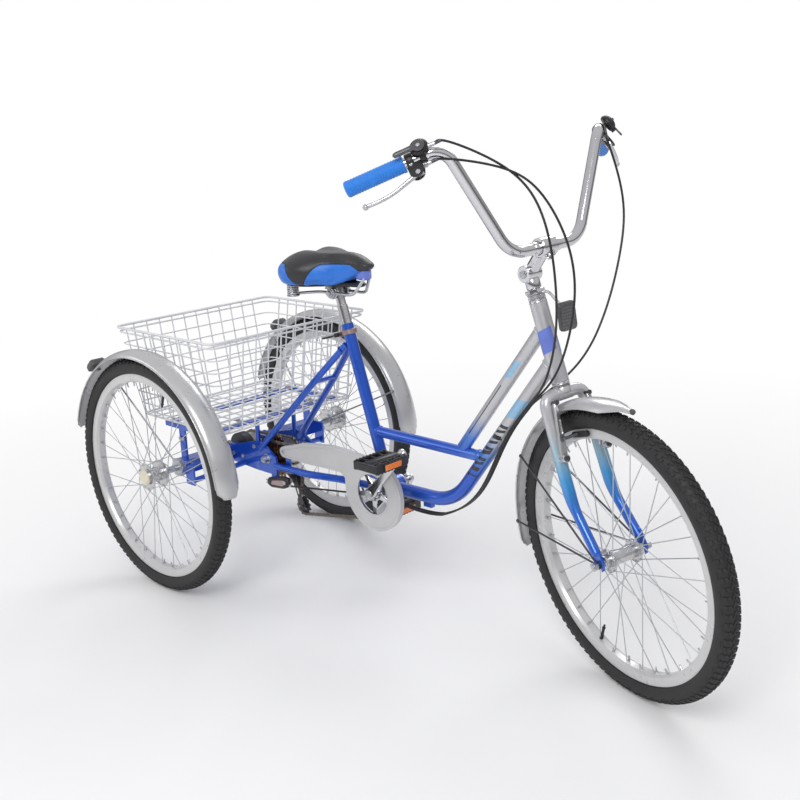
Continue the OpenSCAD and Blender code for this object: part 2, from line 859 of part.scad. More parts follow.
// Saddle body between two heights: two sit lobes at the back and a narrow nose
module saddle_form(grow, z0, z1) {
    hull() {
        for (s = [-1, 1]) translate([-90, s * 58, z0]) cylinder(r = 46 + grow, h = z1 - z0, $fn = 32);
        for (s = [-1, 1]) translate([-78, s * 50, z1 + 8]) sphere(r = 16 + grow, $fn = 32);
        translate([102, 0, z0]) cylinder(r = 18 + grow, h = z1 - z0 - 6, $fn = 32);
    }
}

module saddle_cover() {
    color([0.15, 0.15, 0.17]) saddle_placed() saddle_form(2, saddle_low, 36);
}

module saddle_base() {
    color("black") saddle_placed() translate([0, 0, saddle_low - base_t - 0.2])
        linear_extrude(base_t) hull() {
            for (s = [-1, 1]) translate([-86, s * 58]) circle(r = 40, $fn = 32);
            translate([102, 0]) circle(r = 13, $fn = 32);
        }
}

module saddle_frame() {
    color("silver") saddle_placed() {
        // Rails from the nose back to the springs
        both_sides()
            bent_rod([[96, 9, saddle_low - 12], [66, 21, rail_z], [-40, 21, rail_z],
                [-92, 50, rail_z - 3]], 14, 3.5);
        // Clamp on the post, with its cross bolt
        both_sides() translate([0, 16, rail_z]) rotate([-90, 0, 0]) cylinder(r = 15, h = 14);
        translate([0, -33, rail_z]) rotate([-90, 0, 0]) cylinder(r = 4, h = 66);
        difference() {
            translate([0, 0, rail_z - 10]) rotate([0, seat_angle - 90, 0]) cylinder(r = 15.9, h = 21);
            translate(bb_at + 430 * seat_dir - saddle_at) aim(seat_dir) cylinder(r = 11, h = 80);
        }
        // Springs under the sit lobes, as ribbed sleeves
        both_sides() translate([-92, 60, spring_z]) rotate_extrude() {
            translate([11.5, 0]) square([2, saddle_low - base_t - 0.4 - spring_z]);
            for (i = [0 : 4]) translate([13, 3 + i * 4.6]) circle(r = 2.2);
        }
    }
}

// ---------- fork and steering ----------

module fork() {
    steered() color("silver") difference() {
        union() {
            on_head() {
                cylinder(r = steerer_r, h = 203);
                translate([0, 0, -8]) cylinder(r = 17, h = 12);
                both_sides() {
                    bent_rod([[0, 0, crown_d], [0, 47, crown_d], [1, 50, -170]], 22, 12.9);
                    fork_leg();
                }
            }
            // Posts of the brake arms
            both_sides() rod(arm_pivot, arm_pivot + 28 * head_fwd, 4);
            // Fork ends
            both_sides() translate([0, 57, 0]) rotate([90, 0, 0]) linear_extrude(5.5)
                polygon([[hub_at[0] - 20, hub_at[2] + 34], [hub_at[0] - 2, hub_at[2] + 36],
                    [hub_at[0] + 13, hub_at[2] + 8], [hub_at[0] + 12, hub_at[2] - 10],
                    [hub_at[0] - 10, hub_at[2] - 11], [hub_at[0] - 15, hub_at[2] + 8]]);
        }
        on_head(40) cylinder(r = quill_r + 0.05, h = 200);
        across(hub_at[0], hub_at[2], -80) cylinder(r = 5, h = 160);
    }
}

module fork_leg() {
    bent_rod([[1, 50, -150], [1.5, 50.5, -210], [rake - 2, 54, hub_down + 24]], 150, 11);
}

module headset_nuts() {
    steered() color("silver") {
        // Crown race
        on_head(5) ring(17.4, steerer_r + play, 2.5);
        on_head(head_high + 6.6) ring(17, steerer_r + play, 8.7);
        difference() {
            on_head(head_high + 18.5) cylinder(r = 19, h = 8, $fn = 6);
            on_head(head_high + 18) cylinder(r = steerer_r + play, h = 12);
        }
    }
}

module stem() {
    arm = bar_mid - pivot_at;
    bar_turned() color("silver") {
        on_head(110) cylinder(r = quill_r, h = stem_pivot_d - 110);
        on_head(204) cylinder(r = 15, h = 20);
        across(pivot_at[0], pivot_at[2], -19) cylinder(r = 17, h = 38);
        difference() {
            union() {
                in_frame(pivot_at, unit(arm), [0, 1, 0], cross(unit(arm), [0, 1, 0]))
                    translate([0, -12, -11]) cube([norm(arm), 24, 22]);
                across(bar_mid[0], bar_mid[2], -20) cylinder(r = 19, h = 40);
            }
            across(bar_mid[0], bar_mid[2], -30) cylinder(r = 12.7, h = 60);
        }
    }
}

module handlebar() {
    bar_turned() color("silver") {
        across(bar_mid[0], bar_mid[2], -34) cylinder(r = 12.7, h = 68);
        both_sides() {
            bent_rod([bar_mid, bar_low, bar_top - unit(bar_top - bar_low) * 60], bar_bend_low, bar_r);
            bent_rod([bar_top - unit(bar_top - bar_low) * 61, bar_top, bar_end], bar_bend_top, bar_r);
        }
    }
}

// Local x runs up the bar from the end of a grip, and local y towards the brake lever
function grip_x(side) = unit(side_of(bar_top - bar_end, side));
function grip_y(side) = let (x = grip_x(side), w = [0.8, 0, -0.6]) unit(w - (w * x) * x);
module at_grip(side) {
    x = grip_x(side);
    y = grip_y(side);
    bar_turned() in_frame(side_of(bar_end, side), x, y, cross(x, y)) children();
}

module grips() {
    color("dodgerblue") for (side = [-1, 1]) at_grip(side) rotate([0, 90, 0]) difference() {
        translate([0, 0, -4]) cylinder(r = grip_r, h = grip_len + 4);
        translate([0, 0, -0.05]) cylinder(r = bar_bore, h = grip_len + 1);
    }
}

module lever_brackets() {
    color("black") for (side = [-1, 1]) at_grip(side) {
        translate([clamp_x, 0, 0]) rotate([0, 90, 0]) ring(15, bar_bore, 14);
        difference() {
            translate([clamp_x, 13, -7]) cube([24, 26, 14]);
            translate([lever_pivot[0] - 16, lever_pivot[1] - 9, -4.3]) cube([32, 20, 8.6]);
            translate([lever_pivot[0], lever_pivot[1], -10]) cylinder(r = 2.5 + play, h = 20);
        }
        // Barrel that the cable leaves by
        translate([clamp_x + 22, 19, 0]) rotate([0, 90, 0]) cylinder(r = 4, h = 22);
    }
}

// One brake lever round its pivot, closing towards the bar as it turns about local z
module brake_lever(side) {
    color("silver") at_grip(side) translate([lever_pivot[0], lever_pivot[1], 0]) {
        cylinder(r = 2.5, h = 16, center = true);
        translate([-8, -5, -4]) cube([18, 11, 8]);
        rod([-4, 0, 0], [-50, 16, 0], 3.7);
        translate([-50, 16, -4.4]) cylinder(r = 4.4, h = 8.8);
        rod([-50, 16, 0], [-108, 20, 0], 3.8);
        translate([-110, 20, -4.6]) cylinder(r = 5.5, h = 9.2);
    }
}
module right_brake_lever() {
    brake_lever(-1);
}
module left_brake_lever() {
    brake_lever(1);
}

module shifter_pod() {
    color([0.12, 0.12, 0.12]) at_grip(-1) translate([shifter_x, 0, 0]) {
        translate([-9, 0, 0]) rotate([0, 90, 0]) ring(15, bar_bore, 12);
        translate([-3, -6, -25]) cylinder(r = 17, h = 13);
        translate([-3, -6, -28.5]) cylinder(r = 4, h = 5);
    }
}

module shifter_lever() {
    color([0.25, 0.25, 0.27]) at_grip(-1) translate([shifter_x - 3, -6, -28.2]) difference() {
        union() {
            cylinder(r = 12, h = 3);
            translate([-48, -5, 0]) cube([44, 10, 3]);
        }
        translate([0, 0, -1]) cylinder(r = 4 + play, h = 6);
    }
}

module bell() {
    color("black") at_grip(1) translate([bell_x, 0, 0]) {
        rotate([0, 90, 0]) translate([0, 0, -6]) ring(14.5, bar_bore, 12);
        translate([0, 0, 13]) cylinder(r = 4, h = 8);
        translate([0, 0, 17]) cylinder(r = 17, h = 3);
        difference() {
            translate([0, 0, 20.3]) cylinder(r1 = 18, r2 = 11, h = 14);
            translate([0, 0, 20.2]) cylinder(r1 = 16, r2 = 10, h = 11);
        }
        translate([0, 19.5, 17]) cylinder(r = 2, h = 8);
        translate([0, 16, 17]) cube([4, 4, 3], center = false);
    }
}

module bell_striker() {
    color("black") at_grip(1) translate([bell_x, 19.5, 25.2]) difference() {
        union() {
            cylinder(r = 4, h = 3);
            translate([-3, 2, 0]) cube([6, 16, 3]);
        }
        translate([0, 0, -1]) cylinder(r = 1, h = 6);
    }
}

module front_reflector() {
    color("grey") bar_turned() {
        // Ring on the headset and an arm forward to the housing
        on_head(head_high + 15.8) difference() {
            union() {
                cylinder(r = 18, h = 2.4);
                translate([10, -7, 0]) cube([18, 14, 2.4]);
            }
            translate([0, 0, -1]) cylinder(r = steerer_r + play, h = 5);
        }
        rod(crown_at + 25.5 * head_fwd + (head_high + 17) * head_dir, [1046, 0, 776], 3);
        translate([1040, -23, 732]) rotate([0, -8, 0]) cube([12, 46, 56]);
    }
}

// ---------- front brake ----------

// One brake arm on the left side, with its pad against the rim's side
module brake_arm() {
    pad_at = [1096, 0, 540];
    color("silver") {
        difference() {
            union() {
                rod(arm_pivot + 12.4 * head_fwd, arm_pivot + 27 * head_fwd, 7);
                cone_rod(arm_pivot + 20 * head_fwd + 4 * head_dir, arm_top + 20 * head_fwd, 6, 5);
            }
            rod(arm_pivot, arm_pivot + 32 * head_fwd, 4 + play);
        }
    }
    color("black") {
        rod([1084, 47, 536], [1092, 24, 541], 4);
        translate([pad_at[0], rim_half + 1.2, pad_at[2]]) rotate([0, -18, 0])
            translate([-24, 0, -6]) cube([48, 9, 12]);
    }
}

module left_brake_arm() {
    steered() brake_arm();
}
module right_brake_arm() {
    steered() mirror([0, 1, 0]) brake_arm();
}

// ---------- cables ----------

function turned(v, a) = let (k = head_dir, p = v - crown_at)
    crown_at + p * cos(a) + cross(k, p) * sin(a) + k * (k * p) * (1 - cos(a));
function on_bar(side, local) = let (x = grip_x(side), y = grip_y(side), z = cross(x, y))
    turned(side_of(bar_end, side) + local[0] * x + local[1] * y + local[2] * z, steer_rest + stem_turn);
function on_bar_dir(side, local) = on_bar(side, local) - on_bar(side, [0, 0, 0]);

module cables() {
    lever_out = [clamp_x + 46, 19, 0];
    color([0.1, 0.1, 0.1]) {
        // From the shifter and the right lever, in front of the head, and back under the frame
        for (i = [0, 1]) {
            start = i == 0 ? on_bar(-1, lever_out) : on_bar(1, lever_out);
            pull = i == 0 ? on_bar_dir(-1, [150, 60, -60]) : on_bar_dir(1, [120, 130, -60]);
            low = under_head + [0, i * 9, 0];
            cord(concat(
                curve(start, pull, [200, -75 + i * 10, 190], low, 22),
                curve(low + run_dir * 0.05, run_dir * 0.4, [150, 0, 60],
                    under_bend + [0, i * 9, 0], 10)), 2.4);
        }
    }
}

// ---------- node switch ----------

main_frame();
frame_bearings();
seat_clamp();
seat_clamp_lever();
basket();
rear_mudguards();
rear_reflectors();
chain_guard();
chains();
derailleur_body();
derailleur_cage();
guide_pulley();
tension_pulley();
band_brake();
cables();
seat_post();
saddle_cover();
saddle_base();
saddle_frame();
fork();
headset_nuts();
stem();
handlebar();
grips();
lever_brackets();
right_brake_lever();
left_brake_lever();
shifter_pod();
shifter_lever();
bell();
bell_striker();
front_reflector();
front_mudguard();
front_axle();
right_brake_arm();
left_brake_arm();
front_hub();
front_spokes();
front_rim();
front_tyre();
left_rear_hub();
left_rear_spokes();
left_rear_rim();
left_rear_tyre();
right_rear_hub();
right_rear_spokes();
right_rear_rim();
right_rear_tyre();
left_hub_cap();
right_hub_cap();
rear_axle();
axle_sprocket();
mid_hub();
freewheel();
crank_spindle();
drive_crank();
left_crank();
right_pedal();
left_pedal();
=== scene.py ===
"""Looks of an adult tricycle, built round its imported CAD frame.

Geometry is worked out in millimetres, in the frame's own axes: +X forward, +Y left, +Z up, origin on the
ground below the rear axle. Steered pieces are worked out with the steering straight and then turned.
"""

import json
from math import atan2, cos, exp, pi, radians, sin, sqrt, tan

import bpy
import numpy as np
from mathutils import Matrix, Vector
from mathutils.geometry import tessellate_polygon


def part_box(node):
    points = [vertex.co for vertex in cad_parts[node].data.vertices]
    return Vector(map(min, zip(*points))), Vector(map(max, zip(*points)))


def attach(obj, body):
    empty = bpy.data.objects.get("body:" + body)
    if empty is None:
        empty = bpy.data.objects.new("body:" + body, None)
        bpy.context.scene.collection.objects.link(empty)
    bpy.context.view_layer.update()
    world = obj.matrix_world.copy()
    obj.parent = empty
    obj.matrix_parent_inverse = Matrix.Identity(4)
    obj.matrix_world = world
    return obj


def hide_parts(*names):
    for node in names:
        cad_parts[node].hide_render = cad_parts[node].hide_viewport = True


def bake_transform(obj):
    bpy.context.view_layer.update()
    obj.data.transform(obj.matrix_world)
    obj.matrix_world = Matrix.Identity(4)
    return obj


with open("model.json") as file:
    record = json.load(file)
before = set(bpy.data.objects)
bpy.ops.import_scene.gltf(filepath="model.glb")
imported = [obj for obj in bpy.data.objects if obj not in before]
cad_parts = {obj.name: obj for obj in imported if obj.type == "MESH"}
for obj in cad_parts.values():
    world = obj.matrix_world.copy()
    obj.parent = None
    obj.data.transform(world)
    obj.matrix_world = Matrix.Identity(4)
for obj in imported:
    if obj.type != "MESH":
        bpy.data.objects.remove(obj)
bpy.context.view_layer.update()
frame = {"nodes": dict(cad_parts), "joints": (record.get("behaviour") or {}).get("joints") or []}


def vec(*numbers):
    return Vector(numbers)


MM = 0.001
X, Y, Z = vec(1, 0, 0), vec(0, 1, 0), vec(0, 0, 1)
ORIGIN = vec(0, 0, 0)
joints = {j["name"]: j for j in frame["joints"]}


def joint_at(name):
    return Vector(joints[name]["pos_m"]) / MM


def joint_axis(name):
    return Vector(joints[name]["axis"]).normalized()


def node_box(name):
    low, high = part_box(name)
    return low / MM, high / MM


# ---------------------------------------------------------------- places taken from the frame

HEAD = joint_at("steering")
HEAD_DIR = joint_axis("steering")
HEAD_FWD = Y.cross(HEAD_DIR)


def turn_about_head(direction):
    """The turn about the steering axis that carries +Y to direction."""
    return atan2(HEAD_DIR.dot(Y.cross(direction)), Y.dot(direction))


def head_turned(angle):
    return Matrix.Translation(HEAD) @ Matrix.Rotation(angle, 4, HEAD_DIR) @ Matrix.Translation(-HEAD)


STEERED = head_turned(turn_about_head(joint_axis("front_wheel_spin")))
lever_gap = joint_at("left_lever_pull") - joint_at("right_lever_pull")
BARRED = head_turned(turn_about_head((lever_gap - lever_gap.dot(HEAD_DIR) * HEAD_DIR).normalized()))

HUB = STEERED.inverted() @ joint_at("front_wheel_spin")
AXLE = joint_at("rear_axle_spin")
LEFT_HUB = joint_at("left_wheel_spin")
RIGHT_HUB = vec(LEFT_HUB.x, -LEFT_HUB.y, LEFT_HUB.z)
BB = joint_at("crank_spin")
MID_HUB = joint_at("jackshaft_spin")
SEAT_DIR = joint_axis("seat_height")
WHEEL_R = LEFT_HUB.z


# ---------------------------------------------------------------- geometry helpers

def lerp(a, b, t):
    return a + (b - a) * t


def smoothstep(t):
    t = min(1.0, max(0.0, t))
    return t * t * (3 - 2 * t)


def basis(at, x, y, z):
    """A matrix that carries the local axes to x, y, z at the point at."""
    m = Matrix((x, y, z)).transposed().to_4x4()
    m.translation = at
    return m


def aimed(at, direction, hint=Z):
    """Local z along direction, local x as near to hint as can be."""
    z = direction.normalized()
    if abs(z.dot(hint.normalized())) > 0.99:
        hint = X
    x = (hint - hint.dot(z) * z).normalized()
    return basis(at, x, z.cross(x), z)


def curve(a, pull_a, pull_b, b, steps=24):
    """A cubic curve from a, leaving along pull_a, to b, arriving against pull_b."""
    out = []
    for i in range(steps + 1):
        t = i / steps
        s = 1 - t
        out.append(s**3 * a + 3 * s * s * t * (a + pull_a) + 3 * s * t * t * (b + pull_b) + t**3 * b)
    return out


def through(points, steps=10, closed=False):
    """A smooth curve through the points."""
    n = len(points)
    out = []
    for i in range(n if closed else n - 1):
        p = [points[(i + k) % n] if closed else points[min(max(i + k, 0), n - 1)] for k in (-1, 0, 1, 2)]
        for j in range(steps):
            t = j / steps
            out.append(0.5 * (2 * p[1] + (p[2] - p[0]) * t + (2 * p[0] - 5 * p[1] + 4 * p[2]
                                                              - p[3]) * t * t
                              + (3 * p[1] - p[0] - 3 * p[2] + p[3]) * t**3))
    if not closed:
        out.append(points[-1].copy())
    return out


def rounded(points, bend, closed=False, steps=10):
    """The polyline with each corner turned into an arc-like curve that starts bend away from it."""
    n = len(points)
    out = []
    for i in range(n):
        if not closed and i in (0, n - 1):
            out.append(points[i].copy())
            continue
        a, c, b = points[i - 1], points[i], points[(i + 1) % n]
        r = min(bend, (a - c).length * 0.49, (b - c).length * 0.49)
        start, end = c + (a - c).normalized() * r, c + (b - c).normalized() * r
        for k in range(steps + 1):
            t = k / steps
            out.append((1 - t) ** 2 * start + 2 * t * (1 - t) * c + t * t * end)
    return out


class Shape:
    """Vertices and faces in millimetres, from several parts, with a material index on each face."""

    def __init__(self):
        self.verts, self.faces, self.mats = [], [], []

    def add(self, verts, faces, mat=0, place=None):
        start = len(self.verts)
        self.verts += [place @ Vector(v) if place is not None else Vector(v) for v in verts]
        self.faces += [[start + i for i in f] for f in faces]
        self.mats += [mat] * len(faces)
        return self

    def tube(self, points, radius, sides=16, mat=0, place=None, closed=False, flat=1.0, hint=Z,
             caps=True):
        """A round section swept along points. radius may be a list; flat squeezes it across hint."""
        n = len(points)
        radii = radius if isinstance(radius, (list, tuple)) else [radius] * n
        tangents = []
        for i in range(n):
            a = points[i - 1] if (i or closed) else points[0]
            b = points[(i + 1) % n] if (i < n - 1 or closed) else points[-1]
            tangents.append((b - a).normalized())
        side = hint.cross(tangents[0])
        if side.length < 1e-3:
            side = X.cross(tangents[0])
        side.normalize()
        verts = []
        for i in range(n):
            t = tangents[i]
            side = (side - side.dot(t) * t).normalized()
            other = t.cross(side)
            for k in range(sides):
                a = 2 * pi * k / sides
                verts.append(points[i] + side * (cos(a) * radii[i]) + other * (sin(a) * radii[i] * flat))
        faces = []
        for i in range(n if closed else n - 1):
            j = (i + 1) % n
            for k in range(sides):
                k2 = (k + 1) % sides
                faces.append((i * sides + k, i * sides + k2, j * sides + k2, j * sides + k))
        if not closed and caps:
            faces.append(tuple(range(sides - 1, -1, -1)))
            faces.append(tuple((n - 1) * sides + k for k in range(sides)))
        return self.add(verts, faces, mat, place)

    def rod(self, a, b, radius, radius_b=None, sides=20, mat=0, place=None):
        return self.tube([a, b], [radius, radius if radius_b is None else radius_b], sides, mat, place)

    def revolve(self, profile, at, axis, sides=48, mat=0, place=None, closed=False, hint=Z):
        """Points (radius, height) turned round axis through at. A closed profile makes a ring."""
        m = aimed(at, axis, hint)
        n = len(profile)
        verts = []
        for i in range(sides):
            a = 2 * pi * i / sides
            verts += [m @ vec(r * cos(a), r * sin(a), h) for r, h in profile]
        faces = []
        for i in range(sides):
            i2 = (i + 1) % sides
            for k in range(n if closed else n - 1):
                k2 = (k + 1) % n
                faces.append((i * n + k, i2 * n + k, i2 * n + k2, i * n + k2))
        if not closed:
            faces.append(tuple(i * n for i in range(sides - 1, -1, -1)))
            faces.append(tuple(i * n + n - 1 for i in range(sides)))
        return self.add(verts, faces, mat, place)

    def slab(self, outline, thickness, m, mat=0, edge=0.8, place=None):
        """An outline in the local x-y plane of m, thickness thick along local z, with chamfered edges."""
        n = len(outline)
        edge = min(edge, thickness * 0.45)
        pts = flat_loop(outline)
        inner = inset(pts, edge)
        levels = [(inner, 0), (pts, edge), (pts, thickness - edge), (inner, thickness)]
        verts = [m @ vec(p.x, p.y, h) for ring, h in levels for p in ring]
        faces = [tuple(range(n - 1, -1, -1)), tuple(3 * n + k for k in range(n))]
        for lv in range(3):
            for k in range(n):
                k2 = (k + 1) % n
                faces.append((lv * n + k, lv * n + k2, (lv + 1) * n + k2, (lv + 1) * n + k))
        return self.add(verts, faces, mat, place)

    def block(self, size, m, mat=0, edge=0.8, corner=2.0, place=None):
        """A block of size (x, y, z) centred on m, with rounded upright corners."""
        return self.slab(round_rect(size[0], size[1], corner), size[2], m @ shift(0, 0, -size[2] / 2),
                         mat, edge, place)

    def ring(self, inner, outer, low, high, at, axis, sides, place=None):
        """A flat ring from low to high along axis."""
        profile = [(inner, low), (outer, low), (outer, high), (inner, high)]
        return self.revolve(profile, at, axis, sides, place=place, closed=True)

    def ball(self, at, radius, mat=0, place=None, squash=1.0, axis=Z, sides=24):
        steps = 12
        turns = [pi * i / steps for i in range(1, steps)]
        profile = [(radius * sin(a), -radius * squash * cos(a)) for a in turns]
        return self.revolve(profile, at, axis, sides, mat, place)

    def hexagon(self, at, axis, across, height, mat=0, place=None):
        """A nut or bolt head with its lower face at the point at."""
        r = across / sqrt(3)
        return self.slab(circle_points(r, 6), height, aimed(at, axis), mat, height * 0.15, place)


def flat_loop(points, anticlockwise=True):
    """The points as flat vectors that run anticlockwise, or clockwise for a hole."""
    loop = [vec(p[0], p[1]) for p in points]
    area = sum(loop[i - 1].cross(loop[i]) for i in range(len(loop)))
    if (area < 0) == anticlockwise:
        loop.reverse()
    return loop


def inset(points, amount):
    """The loop moved towards its left-hand side, which is inward when it runs anticlockwise."""
    n = len(points)
    out = []
    for i in range(n):
        a = (points[i] - points[i - 1]).normalized()
        b = (points[(i + 1) % n] - points[i]).normalized()
        na, nb = vec(-a.y, a.x), vec(-b.y, b.x)
        out.append(points[i] + (na + nb) / max(0.35, 1 + na.dot(nb)) * amount)
    return out


def plate(shape, outline, holes, thickness, m, mat=0, edge=0.5, place=None):
    """A flat plate with holes and chamfered edges, in the local x-y plane of m."""
    loops = [flat_loop(points, k == 0) for k, points in enumerate([outline, *holes])]
    small = [inset(loop, edge) for loop in loops]
    levels = [(small, 0), (loops, edge), (loops, thickness - edge), (small, thickness)]
    total = sum(len(loop) for loop in loops)
    verts = [m @ vec(p.x, p.y, h) for group, h in levels for loop in group for p in loop]
    faces = []
    flat = [p for loop in small for p in loop]
    for a, b, c in tessellate_polygon([[p.to_3d() for p in loop] for loop in small]):
        if (flat[b] - flat[a]).cross(flat[c] - flat[a]) < 0:
            b, c = c, b
        faces += [(c, b, a), (3 * total + a, 3 * total + b, 3 * total + c)]
    start = 0
    for loop in loops:
        n = len(loop)
        for lv in range(3):
            for k in range(n):
                k2 = (k + 1) % n
                low, high = lv * total + start, (lv + 1) * total + start
                faces.append((low + k, low + k2, high + k2, high + k))
        start += n
    return shape.add(verts, faces, mat, place)


def polar(radius, angle):
    return radius * cos(angle), radius * sin(angle)


def arc(radius, start, end, count, cx=0.0):
    """Points of an arc round (cx, 0), from the angle start to the angle end."""
    return [(cx + x, y) for x, y in (polar(radius, a) for a in np.linspace(start, end, count))]


def ridges(radius, count, high, low):
    """A knurled outline: every second point stands out by high, the others by low."""
    return [polar(radius + (high if k % 2 else low), 2 * pi * k / count) for k in range(count)]


def soft(points, bend, steps=5):
    """A flat outline with rounded corners."""
    return rounded([vec(x, y, 0) for x, y in points], bend, True, steps)


def facing(at, y):
    """Local x forward, local y up and local z to the rider's right, at the point at on the plane y."""
    return basis(vec(at.x, y, at.z), X, Z, -Y)


def shift(x, y, z):
    return Matrix.Translation((x, y, z))


def capsule(r_a, r_b, length, steps, waist):
    """Outline of two round ends on the local x axis, with waisted sides."""
    out = arc(r_b, -1.45, 1.45, steps, length)
    out += [(length * 0.66, waist), (length * 0.33, waist)]
    out += arc(r_a, 1.69, 4.59, steps)
    return out + [(length * 0.33, -waist), (length * 0.66, -waist)]


def weld(shape, at, axis, radius, bead, mat=0, ripples=38):
    """A rippled weld bead round a tube."""
    m = aimed(at, axis)
    steps = 114
    turns = [2 * pi * k / steps for k in range(steps)]
    ring = [m @ vec(*polar(radius, a), 0) for a in turns]
    radii = [bead * (1 + 0.22 * sin(ripples * a)) for a in turns]
    return shape.tube(ring, radii, 8, mat, closed=True)


def round_rect(width, height, corner, steps=4):
    """Outline of a rectangle with rounded corners, about the origin."""
    corner = min(corner, width * 0.49, height * 0.49)
    out = []
    for cx, cy, start in ((1, 1, 0), (-1, 1, 90), (-1, -1, 180), (1, -1, 270)):
        for k in range(steps + 1):
            a = radians(start + 90 * k / steps)
            out.append((cx * (width / 2 - corner) + corner * cos(a), cy * (height / 2 - corner)
                        + corner * sin(a)))
    return out


def circle_points(radius, sides, cx=0.0, cy=0.0):
    turns = [2 * pi * k / sides for k in range(sides)]
    return [(cx + x, cy + y) for x, y in (polar(radius, a) for a in turns)]


def soften(mesh, degrees):
    """Smooth shading, with edges sharper than degrees left sharp."""
    mesh.shade_smooth()
    mesh.set_sharp_from_angle(angle=radians(degrees))


def piece(name, shape, body, materials, place=None, replaces=(), sharp=38):
    """Makes the object, lets it ride on body, and returns it."""
    scale = Matrix.Scale(MM, 4)
    m = scale @ place if place is not None else scale
    mesh = bpy.data.meshes.new(name)
    mesh.from_pydata([m @ v for v in shape.verts], [], shape.faces)
    materials = materials if isinstance(materials, (list, tuple)) else [materials]
    for mat in materials:
        mesh.materials.append(mat)
    mesh.polygons.foreach_set("material_index", shape.mats)
    mesh.validate()
    soften(mesh, sharp)
    obj = bpy.data.objects.new(name, mesh)
    bpy.context.scene.collection.objects.link(obj)
    if isinstance(body, str):
        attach(obj, body)
    if replaces:
        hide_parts(*replaces)
    return obj


# ---------------------------------------------------------------- materials

def node_setup(name):
    mat = bpy.data.materials.new(name)
    mat.use_nodes = True
    tree = mat.node_tree
    return mat, tree, tree.nodes["Principled BSDF"]


def add_node(tree, kind, **values):
    n = tree.nodes.new(kind)
    for key, value in values.items():
        if key in n.inputs:
            n.inputs[key].default_value = value
        else:
            setattr(n, key, value)
    return n


def coords(tree):
    return add_node(tree, "ShaderNodeTexCoord").outputs["Object"]


def noise_node(tree, scale, detail=3.0, roughness=0.6, vector=None):
    n = add_node(tree, "ShaderNodeTexNoise", Scale=scale, Detail=detail, Roughness=roughness)
    tree.links.new(vector or coords(tree), n.inputs["Vector"])
    return n.outputs["Fac"]


def remap(tree, value, low, high, to_low=0.0, to_high=1.0):
    n = add_node(tree, "ShaderNodeMapRange")
    for key, v in zip(("From Min", "From Max", "To Min", "To Max"), (low, high, to_low, to_high)):
        n.inputs[key].default_value = v
    tree.links.new(value, n.inputs["Value"])
    return n.outputs["Result"]


def mix_colour(tree, share, a, b):
    n = tree.nodes.new("ShaderNodeMix")
    n.data_type = "RGBA"
    for socket, value in ((n.inputs["Factor"], share), (n.inputs[6], a), (n.inputs[7], b)):
        if isinstance(value, bpy.types.NodeSocket):
            tree.links.new(value, socket)
        elif isinstance(value, (tuple, list)):
            socket.default_value = (*value[:3], 1)
        else:
            socket.default_value = value
    return n.outputs[2]


def maths(tree, operation, a, b=None):
    n = add_node(tree, "ShaderNodeMath", operation=operation)
    for socket, value in zip(n.inputs, (a, b)):
        if value is None:
            continue
        if isinstance(value, bpy.types.NodeSocket):
            tree.links.new(value, socket)
        else:
            socket.default_value = value
    return n.outputs["Value"]


def bump(tree, shader, height, strength=0.2, distance=0.001, edge=0.0):
    """Bump from height on top of edges rounded in shading by edge metres."""
    n = add_node(tree, "ShaderNodeBump", Strength=strength, Distance=distance)
    tree.links.new(height, n.inputs["Height"])
    if edge:
        bevel = add_node(tree, "ShaderNodeBevel", Radius=edge, samples=4)
        tree.links.new(bevel.outputs["Normal"], n.inputs["Normal"])
    tree.links.new(n.outputs["Normal"], shader.inputs["Normal"])


def surface(name, colour, rough, metallic=0.0, coat=0.0, vary=0.06, vary_scale=30, grain=600,
            grain_strength=0.05, grain_depth=0.0003, edge=0.0, rough_vary=0.08, sheen=0.0):
    """A general material: base colour with mottling, uneven roughness, fine grain and softened edges."""
    mat, tree, shader = node_setup(name)
    mottle = noise_node(tree, vary_scale, 4)
    dark = tuple(c * (1 - vary) for c in colour)
    light = tuple(min(1.0, c * (1 + vary)) for c in colour)
    base = mix_colour(tree, remap(tree, mottle, 0.3, 0.7), dark, light)
    tree.links.new(base, shader.inputs["Base Color"])
    tree.links.new(remap(tree, mottle, 0.3, 0.7, rough - rough_vary / 2, rough + rough_vary / 2),
                   shader.inputs["Roughness"])
    shader.inputs["Metallic"].default_value = metallic
    shader.inputs["Coat Weight"].default_value = coat
    shader.inputs["Coat Roughness"].default_value = 0.06
    shader.inputs["Sheen Weight"].default_value = sheen
    bump(tree, shader, noise_node(tree, grain, 2), grain_strength, grain_depth, edge)
    return mat


def axis_coordinate(tree, direction, offset=0.0):
    """Distance along direction, in metres, from the plane offset along it."""
    n = add_node(tree, "ShaderNodeVectorMath", operation="DOT_PRODUCT")
    tree.links.new(coords(tree), n.inputs[0])
    n.inputs[1].default_value = direction
    return maths(tree, "SUBTRACT", n.outputs["Value"], offset)


SILVER = (0.54, 0.54, 0.56)
BLUE = (0.003, 0.085, 0.56)


